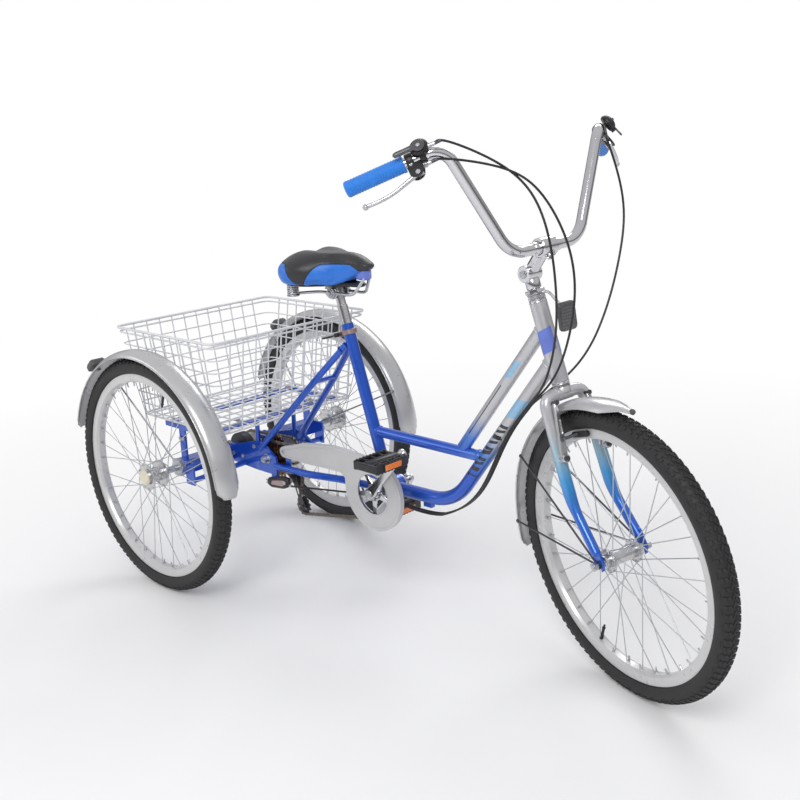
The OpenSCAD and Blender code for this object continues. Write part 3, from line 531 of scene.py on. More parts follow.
def fading_paint(name, direction, start, end, colours):
    """Metallic paint that fades through colours from start to end metres along direction."""
    mat, tree, shader = node_setup(name)
    ramp = add_node(tree, "ShaderNodeValToRGB")
    elements = ramp.color_ramp.elements
    while len(elements) < len(colours):
        elements.new(0.5)
    for i, (at, colour) in enumerate(colours):
        elements[i].position = at
        elements[i].color = (*colour, 1)
    wobble = remap(tree, noise_node(tree, 9, 2), 0, 1, -0.02, 0.02)
    along = maths(tree, "ADD", remap(tree, axis_coordinate(tree, direction), start, end), wobble)
    tree.links.new(along, ramp.inputs["Fac"])
    flake = noise_node(tree, 2500, 1)
    colour = mix_colour(tree, remap(tree, flake, 0.55, 0.8, 0, 0.05), ramp.outputs["Color"],
                        (0.8, 0.85, 0.95))
    tree.links.new(colour, shader.inputs["Base Color"])
    shader.inputs["Metallic"].default_value = 0.45
    tree.links.new(remap(tree, noise_node(tree, 12, 3), 0.3, 0.7, 0.26, 0.36), shader.inputs["Roughness"])
    shader.inputs["Coat Weight"].default_value = 0.9
    shader.inputs["Coat Roughness"].default_value = 0.05
    bump(tree, shader, noise_node(tree, 500, 2), 0.03, 0.0002, 0.0012)
    return mat


M = {}
M["frame"] = fading_paint("frame_paint", (0.62, 0, 0.78), 0.80, 0.92, [(0.0, BLUE),
                          (0.45, (0.06, 0.20, 0.62)), (1.0, SILVER)])
M["silver"] = surface("silver_paint", (0.56, 0.56, 0.57), 0.30, 0.5, 0.6, 0.03, edge=0.0008)
M["chrome"] = surface("chrome", (0.66, 0.66, 0.68), 0.09, 1.0, 0, 0.02, grain_strength=0.01, edge=0.0008,
                      rough_vary=0.05)
M["steel"] = surface("zinc_steel", (0.55, 0.56, 0.58), 0.34, 1.0, 0, 0.10, vary_scale=60, edge=0.0008)
M["alloy"] = surface("cast_alloy", (0.60, 0.60, 0.61), 0.28, 0.95, 0, 0.05, grain=900,
                     grain_strength=0.08, edge=0.0010)
M["rim"] = surface("rim_paint", (0.60, 0.60, 0.60), 0.30, 0.25, 0.3, 0.03, edge=0.0006)
M["rubber"] = surface("tyre_rubber", (0.018, 0.018, 0.019), 0.62, 0, 0, 0.35, 25, 1400, 0.25, 0.0004,
                      rough_vary=0.2)
M["black"] = surface("black_plastic", (0.015, 0.015, 0.017), 0.38, 0, 0, 0.3, 40, 1200, 0.18, 0.0003,
                     edge=0.0006)
M["dark"] = surface("dark_plastic", (0.075, 0.075, 0.08), 0.42, 0, 0, 0.2, 40, 900, 0.15, 0.0003,
                    edge=0.0008)
M["grey"] = surface("guard_plastic", (0.55, 0.55, 0.56), 0.42, 0, 0.15, 0.04, 20, 700, 0.08, 0.0003,
                    edge=0.0010)
M["white"] = surface("white_coating", (0.72, 0.73, 0.75), 0.33, 0, 0.3, 0.03, 30, 400, 0.05)
M["ivory"] = surface("ivory_plastic", (0.72, 0.67, 0.52), 0.35, 0, 0.2, 0.05, 60)
M["grip"] = surface("grip_foam", (0.010, 0.20, 0.72), 0.62, 0, 0, 0.10, 60, 1600, 0.35, 0.0005, sheen=0.3)
M["orange"] = surface("orange_reflector", (0.90, 0.22, 0.02), 0.18, 0, 0.8, 0.12, 200, 300, 0.2)
M["chain"] = surface("chain_steel", (0.23, 0.20, 0.17), 0.38, 1.0, 0, 0.25, 120, 900, 0.1, edge=0.0004)
M["brown"] = surface("bronzed_steel", (0.26, 0.16, 0.09), 0.36, 1.0, 0, 0.2, 120, 900, 0.1)
M["ink"] = surface("black_graphic", (0.012, 0.012, 0.016), 0.3, 0, 0.7, 0.1)
M["pale"] = surface("pale_blue_graphic", (0.28, 0.50, 0.72), 0.3, 0.2, 0.7, 0.05)


def saddle_vinyl():
    """Black grained vinyl with blue sides; the panel attribute is the height above the seam."""
    mat, tree, shader = node_setup("saddle_vinyl")
    side = add_node(tree, "ShaderNodeAttribute", attribute_name="panel").outputs["Fac"]
    mask = maths(tree, "GREATER_THAN", side, 0.0)
    mottle = noise_node(tree, 40, 4)
    black = mix_colour(tree, mottle, (0.016, 0.016, 0.019), (0.030, 0.030, 0.034))
    blue = mix_colour(tree, mottle, (0.012, 0.14, 0.60), (0.022, 0.20, 0.74))
    tree.links.new(mix_colour(tree, mask, blue, black), shader.inputs["Base Color"])
    tree.links.new(remap(tree, mottle, 0.3, 0.7, 0.34, 0.46), shader.inputs["Roughness"])
    shader.inputs["Sheen Weight"].default_value = 0.15
    grain = add_node(tree, "ShaderNodeTexVoronoi", Scale=700)
    tree.links.new(coords(tree), grain.inputs["Vector"])
    bump(tree, shader, grain.outputs["Distance"], 0.22, 0.0004)
    return mat


M["saddle"] = saddle_vinyl()
M["tread"] = surface("tread_rubber", (0.022, 0.022, 0.024), 0.72, 0, 0, 0.35, 30, 1500, 0.25, 0.0003)
M["stay"] = surface("stay_wire", (0.33, 0.34, 0.36), 0.35, 0.9, 0, 0.08)
M["dark_steel"] = surface("dark_stay_wire", (0.10, 0.10, 0.11), 0.40, 0.8, 0, 0.1)
M["purple"] = surface("nose_plastic", (0.14, 0.20, 0.62), 0.4, 0, 0.1, 0.06)
FORK_FADE = [(0.0, BLUE), (0.30, (0.012, 0.14, 0.60)), (0.48, (0.05, 0.33, 0.70)),
             (0.62, (0.34, 0.52, 0.62)), (0.76, SILVER)]
M["fork"] = fading_paint("fork_paint", (0, 0, 1), 0.28, 0.62, FORK_FADE)
M["dark_lens"] = surface("grey_reflector", (0.10, 0.10, 0.105), 0.16, 0.1, 0.8, 0.1, 300)
M["pink"] = surface("worn_alloy", (0.46, 0.34, 0.33), 0.32, 0.9, 0, 0.1, 60)

CAD_LOOKS = {
    "frame": "main_frame",
    "silver": "rear_mudguards front_mudguard fork",
    "white": "basket",
    "grey": "chain_guard",
    "dark": "rear_reflectors front_reflector shifter_lever",
    "chain": "chains",
    "brown": "freewheel",
    "grip": "grips",
    "ivory": "left_hub_cap right_hub_cap",
    "chrome": "seat_post headset_nuts stem handlebar drive_crank left_crank",
    "alloy": "seat_clamp right_brake_lever left_brake_lever right_brake_arm left_brake_arm "
             "front_hub left_rear_hub right_rear_hub",
    "steel": "frame_bearings derailleur_cage saddle_frame front_axle rear_axle axle_sprocket mid_hub "
             "crank_spindle front_spokes left_rear_spokes right_rear_spokes",
    "black": "seat_clamp_lever derailleur_body guide_pulley tension_pulley band_brake cables saddle_cover "
             "saddle_base lever_brackets shifter_pod bell bell_striker right_pedal left_pedal",
    "rim": "front_rim left_rear_rim right_rear_rim",
    "rubber": "front_tyre left_rear_tyre right_rear_tyre",
}
for look, nodes in CAD_LOOKS.items():
    for node in nodes.split():
        mesh = frame["nodes"][node].data
        mesh.materials.clear()
        mesh.materials.append(M[look])


# ---------------------------------------------------------------- wheels

TYRE_HALF = (node_box("left_rear_tyre")[1].y - node_box("left_rear_tyre")[0].y) / 2
TREAD_H = 2.2
SECTION_MID = WHEEL_R - TYRE_HALF - TREAD_H
SPOKES = 36


def tyre_section():
    """Half-round casing with a flat bead, as (radius, side) points of a closed ring."""
    points = []
    for k in range(25):
        a = radians(-128 + 256 * k / 24)
        rib = 0.5 if k in (4, 20) else 0
        points.append((SECTION_MID + (TYRE_HALF - 0.2 + rib) * cos(a), (TYRE_HALF - 0.6 + rib) * sin(a)))
    return points + [(WHEEL_R - 38, 12.6), (WHEEL_R - 47.6, 11.4), (WHEEL_R - 47.6, -11.4),
                     (WHEEL_R - 38, -12.6)]


def tread_block(shape, at, axle, angle, across, length, width, skew, height):
    """One block of the tread: across is the angle round the section, skew turns it on the surface."""
    radial = aimed(at, axle).to_3x3() @ vec(cos(angle), sin(angle), 0)
    out = (radial * cos(across) + axle * sin(across)).normalized()
    round_dir = axle.cross(radial).normalized()
    side = out.cross(round_dir)
    base = at + radial * SECTION_MID + out * (TYRE_HALF - 0.5)
    x = round_dir * cos(skew) + side * sin(skew)
    shape.slab([(-length / 2, -width / 2), (length / 2, -width / 2 + 0.6), (length / 2 - 0.6, width / 2),
                (-length / 2 + 0.6, width / 2 - 0.6)], height + 0.4, basis(base - out * 0.3, x,
               out.cross(x), out), 1, 0.5)


def tyre(name, at, axle, body, place=None):
    """Casing with four rows of blocks on each side of the middle."""
    shape = Shape()
    shape.revolve(tyre_section(), at, axle, 144, 0, closed=True)
    rows = 108
    for i in range(rows):
        a = 2 * pi * i / rows
        step = 2 * pi / rows
        for side in (-1, 1):
            tread_block(shape, at, axle, a + (0.25 if side > 0 else -0.25) * step, side * 0.13, 11.5, 4.6,
                        side * 0.5, TREAD_H - 0.15)
            tread_block(shape, at, axle, a + (0.5 if side > 0 else 0.0) * step, side * 0.47, 10.5, 6.2,
                        side * -0.35, TREAD_H - 0.2)
            tread_block(shape, at, axle, a, side * 0.86, 9.5, 6.6, side * 0.2, TREAD_H - 0.4)
            if i % 2 == 0:
                tread_block(shape, at, axle, a + 0.5 * step, side * 1.2, 12, 2.2, 0, 0.9)
    piece(name + "_tread", shape, body, [M["rubber"], M["tread"]], place, (name,), 30)


def wheel_details(name, at, axle, body, flange, place=None, valve_at=0.0):
    """Spoke nipples and the valve stem."""
    rim_in = WHEEL_R - 61
    shape = Shape()
    m = aimed(at, axle).to_3x3()
    for i in range(SPOKES):
        a = 2 * pi * i / SPOKES
        side = 2.5 if i % 2 == 0 else -2.5
        radial = m @ vec(cos(a), sin(a), 0)
        top = at + radial * (rim_in + 0.5) + axle * side
        lean = (at + axle * flange * (1 if side > 0 else -1) * 0.9 - top).normalized()
        shape.tube([top, top + lean * 3, top + lean * 3.2, top + lean * 11, top + lean * 12],
                   [3.0, 2.6, 1.9, 1.8, 1.2], 8)
    piece(name + "_nipples", shape, body, M["steel"], place)
    shape = Shape()
    radial = m @ vec(cos(valve_at), sin(valve_at), 0)
    root = at + radial * (rim_in + 2)
    shape.tube([root, root - radial * 12, root - radial * 13, root - radial * 32, root - radial * 33,
                root - radial * 35], [4.2, 4.0, 3.2, 3.0, 4.0, 3.6], 14)
    shape.tube([root - radial * 34, root - radial * 42], [2.6, 2.2], 10)
    piece(name + "_valve", shape, body, M["black"], place)


def hub_details(name, at, axle, body, half, flange_r, flange_face, place=None):
    """Dust covers, and the spoke heads on both flanges."""
    shape = Shape()
    for side in (-1, 1):
        shape.revolve([(6, half + 0.3), (11, half + 0.8), (13.2, half - 1), (13.2, half - 4)], at,
                      axle * side, 40)
        for i in range(SPOKES // 2):
            a = radians(20 * i + (5 if side > 0 else 15))
            m = aimed(at, axle * side)
            head = m @ vec((flange_r - 4) * cos(a), (flange_r - 4) * sin(a), 0)
            shape.ball(head + axle * side * flange_face, 2.0, squash=0.6, axis=axle, sides=8)
    piece(name + "_fittings", shape, body, M["chrome"], place)


tyre("front_tyre", HUB, Y, "front_wheel", STEERED)
tyre("left_rear_tyre", LEFT_HUB, Y, "left_wheel")
tyre("right_rear_tyre", RIGHT_HUB, Y, "drive_axle")
wheel_details("front_wheel", HUB, Y, "front_wheel", 32, STEERED, radians(200))
wheel_details("left_wheel", LEFT_HUB, Y, "left_wheel", 20, None, radians(150))
wheel_details("right_wheel", RIGHT_HUB, Y, "drive_axle", 20, None, radians(20))
hub_details("front_hub", HUB, Y, "front_wheel", 46, 24, 33.5, STEERED)


def cap(name, at, out, body):
    """A domed plastic cap pushed on the end of the rear axle, with a rolled lip."""
    low, high = node_box(name)
    reach = max(abs(low.y), abs(high.y)) - abs(at.y)
    start = reach - (high.y - low.y)
    r = (high.x - low.x) / 2
    profile = [(r - 3, start), (r, start + 0.3), (r + 0.2, start + 1.6), (r - 0.7, start + 2.4)]
    for k in range(9):
        a = radians(90 * k / 8)
        profile.append(((r - 1) * cos(a) ** 0.62 if k < 8 else 0.4, start + 3
                        + (reach - start - 3) * sin(a) ** 1.1))
    shape = Shape()
    shape.revolve(profile, at, out, 56)
    piece(name + "_dome", shape, body, M["ivory"], None, (name,), 30)


cap("left_hub_cap", LEFT_HUB, Y, "left_wheel")
cap("right_hub_cap", RIGHT_HUB, -Y, "drive_axle")


# ---------------------------------------------------------------- mudguards

def guard_blade(shape, at, axle, start, turn, r, half, tip=0.0, place=None):
    """An arched blade with rolled edges; its ends round off, or taper to a point of length tip mm."""
    steps, width = 64, 14
    m = aimed(at, axle, X)
    deep = half * 0.62
    rows = []
    for i in range(steps + 1):
        t = i / steps
        a = radians(start + turn * t)
        end = min(t, 1 - t) * abs(radians(turn)) * r
        share = sqrt(max(0.0, 1 - (1 - min(1.0, end / 26)) ** 2)) * 0.45 + 0.55
        if tip and t > 0.5:
            share = min(share, 0.16 + 0.84 * smoothstep(end / tip))
        row = []
        for k in range(width + 1):
            u = -1 + 2 * k / width
            across = u * half * share
            drop = deep * (1 - sqrt(max(0.0, 1 - (u * 0.96) ** 2))) * share
            row.append((a, r - drop, across))
        rows.append(row)
    # Outer and inner skin, joined round the rim
    thick = 1.2
    verts, faces = [], []

    def at_point(a, radius, across):
        return m @ vec(radius * cos(a), radius * sin(a), across)

    n = width + 1
    for skin in (0, 1):
        for row in rows:
            for a, radius, across in row:
                verts.append(at_point(a, radius - skin * thick, across))
    half_count = len(rows) * n
    for i in range(len(rows) - 1):
        for k in range(width):
            q = (i * n + k, i * n + k + 1, (i + 1) * n + k + 1, (i + 1) * n + k)
            faces.append(q)
            faces.append(tuple(half_count + v for v in reversed(q)))
    rim_loop = ([(0, k) for k in range(width)] + [(i, width) for i in range(len(rows) - 1)]
                + [(len(rows) - 1, k) for k in range(width, 0, -1)] + [(i, 0)
                for i in range(len(rows) - 1, 0, -1)])
    for j, (i, k) in enumerate(rim_loop):
        i2, k2 = rim_loop[(j + 1) % len(rim_loop)]
        faces.append((i * n + k, half_count + i * n + k, half_count + i2 * n + k2, i2 * n + k2))
    shape.add(verts, faces, 0, place)
    # Wire rolled into the edge
    edge = [at_point(*rows[i][k]) for i, k in rim_loop[::2]]
    shape.tube(edge, 1.7, 8, 0, place, closed=True)


GUARD_R = node_box("rear_mudguards")[1].z - AXLE.z
GUARD_HALF = node_box("rear_mudguards")[1].y - LEFT_HUB.y
BEAM_OUT = node_box("frame_bearings")[1].y
STAY_FOOT = 58


def rear_guard(side):
    """A rear mudguard held by two bent wire stays; side is 1 on the left."""
    hub = LEFT_HUB if side > 0 else RIGHT_HUB
    shape = Shape()
    # Angles run from forward, up and over to the back
    guard_blade(shape, hub, Y * -1, 2, 164, GUARD_R, GUARD_HALF)
    stay_shape = Shape()
    inner = hub.y - side * (GUARD_HALF + 0.6)
    for angle, share in ((25, 0.965), (132, 0.955)):
        a = radians(angle)
        foot = vec(20 * cos(a), side * (BEAM_OUT - 3), AXLE.z + 20 * sin(a))
        head = vec(GUARD_R * share * cos(a), inner, AXLE.z + GUARD_R * share * sin(a))
        knee = lerp(foot, head, 0.9)
        stay_shape.tube(rounded([foot, knee, head + (head - foot).normalized() * 6], 8), 2.2, 10)
        stay_shape.revolve([(0.5, 0), (5, 0), (5, 1.4), (3.4, 3.4), (0.5, 4)], head - Y * side * 2,
                           Y * -side, 16)
        stay_shape.ring(2.4, 6.5, -2, 1.4, foot, Y * side, 20)
    name = "left" if side > 0 else "right"
    piece(name + "_mudguard", shape, "frame", M["silver"], None, ("rear_mudguards",), 45)
    piece(name + "_mudguard_stays", stay_shape, "frame", M["stay"])


rear_guard(1)
rear_guard(-1)


def front_guard():
    """The front mudguard with its knob and its two pairs of stays."""
    shape = Shape()
    guard_blade(shape, HUB, Y * -1, 196, -116, GUARD_R, GUARD_HALF, 70, place=STEERED)
    # Round knob on the front tip
    tip = radians(80)
    out = vec(cos(tip), 0, sin(tip))
    along = vec(sin(tip), 0, -cos(tip))
    end = HUB + out * (GUARD_R - 1) + along * 1
    knob = Shape()
    knob.revolve([(0.4, -4), (4.6, -3.6), (5.6, 0), (5.0, 3.4), (2.6, 5.6), (0.3, 6)], end, along, 20)
    stays = Shape()
    for side in (-1, 1):
        for angle in (152, 184):
            a = radians(angle)
            foot = HUB + vec(8 * cos(a), side * STAY_FOOT, 8 * sin(a))
            head = HUB + vec(303 * cos(a), side * (GUARD_HALF + 1.4), 303 * sin(a))
            stays.tube([foot, head], 2.1, 10)
            stays.revolve([(0.5, 0), (4.6, 0), (4.6, 1.4), (3, 3.2), (0.5, 3.8)], head, Y * side, 16)
        stays.ring(5.2, 8.6, -1.6, 1.6, HUB + Y * side * STAY_FOOT, Y * side, 24)
    piece("front_mudguard_blade", shape, "steering", M["silver"], None,
          ("front_mudguard",), 45)
    piece("front_mudguard_knob", knob, "steering", M["dark"], STEERED)
    piece("front_mudguard_stays", stays, "steering", M["dark_steel"], STEERED)


front_guard()


# ---------------------------------------------------------------- basket

CROSS_BARS_X = (-60, 118)


def basket():
    """Welded wire basket: a double rim wire, upright wires that run under the floor, and level rings."""
    low, high = node_box("basket")
    mid = (low + high) / 2
    half_x, half_y = (high.x - low.x) / 2, (high.y - low.y) / 2
    tall = high.z - low.z
    taper, second_rim = 34.0, 15
    wire, heavy, corner = 1.8, 3.4, 26.0
    across_cells, side_cells, rows = 12, 10, 7

    def half_at(share):
        grow = taper * (1 - share)
        return half_x - heavy - grow, half_y - heavy - grow

    def ring(share, grow=0.0):
        hx, hy = (h + grow for h in half_at(share))
        corners = [vec(mid.x + sx * hx, sy * hy, low.z + share * tall) for sx,
                   sy in ((1, 1), (-1, 1), (-1, -1), (1, -1))]
        return rounded(corners, corner, True, 6)

    shape = Shape()
    # Rim: a heavy wire with a second one just below it
    shape.tube(ring(1 - heavy / tall), heavy, 12, closed=True)
    shape.tube(ring(1 - second_rim / tall, -1.5), 2.2, 10, closed=True)
    for i in range(1, rows):
        share = 1 - (second_rim + i * (tall - second_rim - wire) / rows) / tall
        shape.tube(ring(share, -wire), wire, 8, closed=True)
    shape.tube(ring(wire * 1.2 / tall, -wire), heavy * 0.8, 10, closed=True)
    # Uprights bent under the floor, with their ends at the rim
    for cells, axis in ((across_cells, "y"), (side_cells, "x")):
        for i in range(1, cells):
            t = -1 + 2 * i / cells
            path = []
            for sign in (-1, 1):
                leg = []
                for share in (1.0, 0.0):
                    hx, hy = half_at(share)
                    if axis == "y":
                        reach, spread = hx, t * (half_y - heavy - taper * 0.5)
                    else:
                        reach, spread = hy, t * (half_x - heavy - taper * 0.5)
                    z = low.z + share * (tall - heavy) + (1 - share) * wire
                    leg.append(vec(mid.x + sign * reach, spread, z) if axis == "y"
                               else vec(mid.x + spread, sign * reach, z))
                path += leg if sign < 0 else leg[::-1]
            shape.tube(rounded(path, 9, False, 4), wire, 8)
    piece("basket_wires", shape, "frame", M["white"], None, ("basket",), 60)
    # Clamps that hold the floor to the two cross bars
    clamps = Shape()
    for x in CROSS_BARS_X:
        for y in (-120, 120):
            clamps.slab(round_rect(34, 15, 4), 2.2, basis(vec(x, y, low.z + 4), X, Y, Z), 0, 0.6)
            clamps.hexagon(vec(x, y, low.z + 6), Z, 9, 5)
            clamps.rod(vec(x, y, low.z - 14), vec(x, y, low.z + 6), 2.6)
    piece("basket_clamps", clamps, "frame", M["steel"])


basket()


# ---------------------------------------------------------------- saddle

COVER_LOW, COVER_HIGH = node_box("saddle_cover")
SADDLE = vec(COVER_HIGH.x - 122, 0, COVER_HIGH.z - 62)
SADDLE_TOP = COVER_HIGH.z - 4


def saddle_outline(steps=8):
    """The widest line of the saddle seen from above: wide lobes behind, a waist, and a narrow nose."""
    half = [(-126, 0), (-127, 34), (-121, 70), (-102, 96), (-72, 104), (-38, 95), (-4, 70), (26, 47),
            (58, 33), (90, 25), (112, 16)]
    left = [vec(x, y, 0) for x, y in half] + [vec(119, 0, 0)]
    right = [vec(x, -y, 0) for x, y in reversed(half[1:])]
    return through(left + right, steps, True)


def seam_height(x):
    """Height of the border between the black top and the blue sides, above the saddle's origin."""
    valley = -40
    rise = smoothstep((x - valley) / 44) if x > valley else smoothstep((valley - x) / 40)
    top = 33 if x > valley else 34
    return lerp(-16, top, rise) - (26 * smoothstep((x - 66) / 46) if x > 66 else 0)


def saddle_shell():
    """Crowned padded form: for each outline point a line climbs from the tucked lower edge to the spine."""
    outline = saddle_outline()
    levels = 18
    rows = []
    for p in outline:
        spine = vec(min(92.0, max(-62.0, p.x)), p.y * 0.12, 0)
        nose = smoothstep((p.x - 10) / 100)
        widest_z = lerp(14, 30, nose)
        row = []
        for k in range(levels + 1):
            a = radians(-58 + 148 * k / levels)
            reach = 1 - cos(a)
            if a < 0:
                flat = p + (spine - p).normalized() * reach * 30
                z = widest_z + lerp(35, 13, nose) * sin(a)
            else:
                flat = lerp(p, spine, reach ** 0.9)
                z = widest_z
                crown = SADDLE_TOP - SADDLE.z - z - 5 - 14 * smoothstep((flat.x - 66) / 50)
                z += crown * sin(a) ** 0.85
                lobe = exp(-((flat.x + 66) / 58) ** 2)
                z += 5.5 * lobe * exp(-((abs(flat.y)
                                         - 50) / 30) ** 2) - 4.5 * lobe * exp(-(flat.y / 20) ** 2)
            row.append(vec(flat.x, flat.y, z))
        rows.append(row)
    n, m = len(rows), levels + 1
    verts = [v for row in rows for v in row]
    faces = [(i * m + k, ((i + 1) % n) * m + k, ((i + 1) % n) * m + k + 1, i * m + k + 1)
             for i in range(n) for k in range(levels)]
    faces.append(tuple(i * m for i in range(n - 1, -1, -1)))
    top = [i * m + levels for i in range(n)]
    for i in range(n // 2):
        a, b, c, d = top[i], top[(i + 1) % n], top[(n - 1 - i) % n], top[(n - i) % n]
        faces.append(list(dict.fromkeys((a, b, c, d))))
    faces = [f for f in faces if len(f) > 2]
    return Shape().add(verts, faces)


def apply_modifier(obj, kind, **settings):
    bpy.context.view_layer.objects.active = obj
    modifier = obj.modifiers.new(kind.lower(), kind)
    for key, value in settings.items():
        setattr(modifier, key, value)
    bpy.ops.object.modifier_apply(modifier=modifier.name)


def puff(obj, voxel, pressure, frames, cap):
    """Voxel remesh, then inflate with the cloth solver; no point moves more than cap metres."""
    apply_modifier(obj, "REMESH", mode="VOXEL", voxel_size=voxel)
    apply_modifier(obj, "SMOOTH", factor=0.5, iterations=6)
    before = np.array([v.co for v in obj.data.vertices])
    cloth = obj.modifiers.new("cloth", "CLOTH")
    cloth.settings.quality = 5
    cloth.settings.use_pressure = True
    cloth.settings.uniform_pressure_force = pressure
    cloth.settings.effector_weights.gravity = 0
    cloth.settings.tension_stiffness = cloth.settings.compression_stiffness = 25
    for frame_number in range(1, frames + 1):
        bpy.context.scene.frame_set(frame_number)
    bpy.ops.object.modifier_apply(modifier=cloth.name)
    bpy.context.scene.frame_set(1)
    after = np.array([v.co for v in obj.data.vertices])
    move = after - before
    length = np.linalg.norm(move, axis=1, keepdims=True)
    after = before + move * np.minimum(1, cap / np.maximum(length, 1e-9))
    obj.data.vertices.foreach_set("co", after.ravel())
    obj.data.update()


def keep_inside(obj, low, high):
    """Squeezes points that stand outside the box back to its faces."""
    for v in obj.data.vertices:
        for k in range(3):
            v.co[k] = min(max(v.co[k], low[k] * MM), high[k] * MM)


def saddle():
    """Padded cover with a groove and piping along the seam."""
    shape = saddle_shell()
    place = Matrix.Translation(SADDLE)
    cover = piece("saddle_padding", shape, "seat", M["saddle"], place, ("saddle_cover",),
                  180)
    puff(cover, 0.0045, 4.0, 16, 0.004)
    keep_inside(cover, COVER_LOW - vec(4, 6, 6), COVER_HIGH + vec(3, 6, 3))
    apply_modifier(cover, "SUBSURF", levels=1, render_levels=1)
    cover.data.shade_smooth()
    panel = cover.data.attributes.new("panel", "FLOAT", "POINT")
    grooves = []
    for v in cover.data.vertices:
        p = v.co / MM - SADDLE
        away = p.z - seam_height(p.x)
        grooves.append(away)
        v.co -= v.normal * (0.0009 * exp(-(away / 1.6) ** 2))
    panel.data.foreach_set("value", grooves)
    piping = Shape()
    for side in (-1, 1):
        path = []
        for x in np.linspace(-116, 104, 56):
            outside = SADDLE + vec(x, side * 135, seam_height(x))
            hit, spot, normal, _ = cover.ray_cast(outside * MM, Y * -side)
            if hit:
                path.append(spot / MM - SADDLE + normal * 0.1)
        if len(path) > 4:
            piping.tube(path, 0.9, 8)
    piece("saddle_piping", piping, "seat", M["black"], place)


saddle()


RAIL_Z = -38
SPRING_X, SPRING_Y, SPRING_R = -92, 60, 12.4


def saddle_underside():
    """Moulded pan, coil springs, rails, nose block and the clamp's serrated discs."""
    place = Matrix.Translation(SADDLE)
    pan = Shape()
    outline = [(p.x * 0.80 - 8, p.y * 0.76) for p in saddle_outline(6)]
    pan.slab(outline, 9, shift(0, 0, -20), 0, 3)
    for x in range(-88, 40, 26):
        pan.block((5, 50 + (10 - x) * 0.4, 5), shift(x, 0, -20), 0, 0.8, 1)
    piece("saddle_pan", pan, "seat", M["black"], place, ("saddle_base",))
    steel = Shape()
    for side in (-1, 1):
        rail = [(98, 8, 2), (74, 19, -34), (60, 21, RAIL_Z), (-40, 21, RAIL_Z), (SPRING_X, 50, -42)]
        steel.tube(rounded([vec(x, side * y, z) for x, y, z in rail], 18), 3.5, 14)
        coil = []
        steps, turns = 120, 5
        for k in range(steps + 1):
            x, y = polar(SPRING_R, 2 * pi * turns * k / steps)
            coil.append(vec(SPRING_X + x, side * (SPRING_Y + y), -44 + 26 * k / steps))
        steel.tube(coil, 2.1, 10)
        for z in (-47, -18):
            steel.ring(2, 15, 0, 2, vec(SPRING_X, side * SPRING_Y, z), Z, 28)
        for y, r, thick in ((16, 15, 5), (21.5, 12.5, 5), (27, 9, 3)):
            ridged = ridges(r, 48, 0.5, -0.3)
            steel.slab(ridged, thick, aimed(vec(0, side * y, RAIL_Z), Y * side), 0, 0.5)
        steel.hexagon(vec(0, side * 30, RAIL_Z), Y * side, 12, 5)
    steel.rod(vec(0, -33, RAIL_Z), vec(0, 33, RAIL_Z), 3.9)
    lean = Matrix.Rotation(atan2(SEAT_DIR.x, SEAT_DIR.z), 4, "Y")
    steel.ring(11.2, 15.9, 0, 23, vec(0, 0, -48), lean.to_3x3() @ Z, 32)
    piece("saddle_springs", steel, "seat", M["steel"], place, ("saddle_frame",))
    nose = Shape()
    nose.slab([(70, -9), (84, -13), (102, -11), (109, 0), (102, 11), (84, 13), (70, 9)], 24,
              shift(0, 0, -3), 0, 3.5)
    piece("saddle_nose_block", nose, "seat", M["purple"], place)


saddle_underside()


# ---------------------------------------------------------------- fork

def on_head(along, forward=0.0, left=0.0):
    """A point measured up the steering axis from the fork crown, with the steering straight."""
    return HEAD + HEAD_DIR * along + HEAD_FWD * forward + Y * left


HUB_DOWN = (HUB - HEAD).dot(HEAD_DIR)
RAKE = (HUB - HEAD).dot(HEAD_FWD)
BRAKE_PIVOT = vec(1066, 52, 489)
arm_joint = STEERED.inverted() @ joint_at("left_arm_close")
ARM_PIVOT = arm_joint - HEAD_FWD * (arm_joint - BRAKE_PIVOT).dot(HEAD_FWD)
STEERER_BORE = 12.8


def fork():
    """Curved crown and blades with slotted ends, brake bosses and the steerer."""
    shape = Shape()
    for side in (-1, 1):
        crown = [on_head(-8), on_head(-8, 0, 47 * side), on_head(-170, 1, 50 * side)]
        path = rounded(crown, 26, steps=8)
        leg = rounded([on_head(-170, 1, 50 * side), on_head(-224, 1.5, 50.6 * side),
                       on_head(HUB_DOWN + 24, RAKE - 2, 54 * side)], 60, steps=10)
        path = path + leg[1:]
        radii = [12.9 - 2.9 * smoothstep((i - len(path) * 0.45) / (len(path) * 0.5))
                 for i in range(len(path))]
        shape.tube(path, radii, 28, hint=HEAD_FWD)
        shape.ball(path[-1], 9.9, squash=0.8, axis=HEAD_DIR)
        # Slotted fork end
        end = [(-20, 34), (-13, 40), (-4, 38), (13, 8), (13, -9), (8, -13), (5.6, -4), (5.6, 1), (0, 5.6),
               (-5.6, 1), (-5.6, -4), (-8, -13), (-14, -8), (-15, 8)]
        at = vec(HUB.x, side * (57 if side > 0 else 51.5), HUB.z)
        shape.slab(end, 5.5, facing(at, at.y), 0, 0.9)
        # Brake boss
        boss = vec(ARM_PIVOT.x, side * ARM_PIVOT.y, ARM_PIVOT.z)
        shape.rod(boss - HEAD_FWD * 9, boss + HEAD_FWD * 11.6, 8, mat=1)
        shape.rod(boss, boss + HEAD_FWD * 28, 4, mat=1)
        weld(shape, boss + HEAD_FWD, HEAD_FWD, 8, 1.6, 1, 20)
    shape.revolve([(12, -8), (17, -8), (17, 0.5), (16, 3.6), (12.7, 4.2), (12.7, 203), (11.6, 204)], HEAD,
                  HEAD_DIR, 48)
    shape.rod(on_head(-8, 0, -17), on_head(-8, 0, 17), 14.2, sides=32)
    piece("fork_blades", shape, "steering", [M["fork"], M["silver"]], STEERED, ("fork",))


fork()


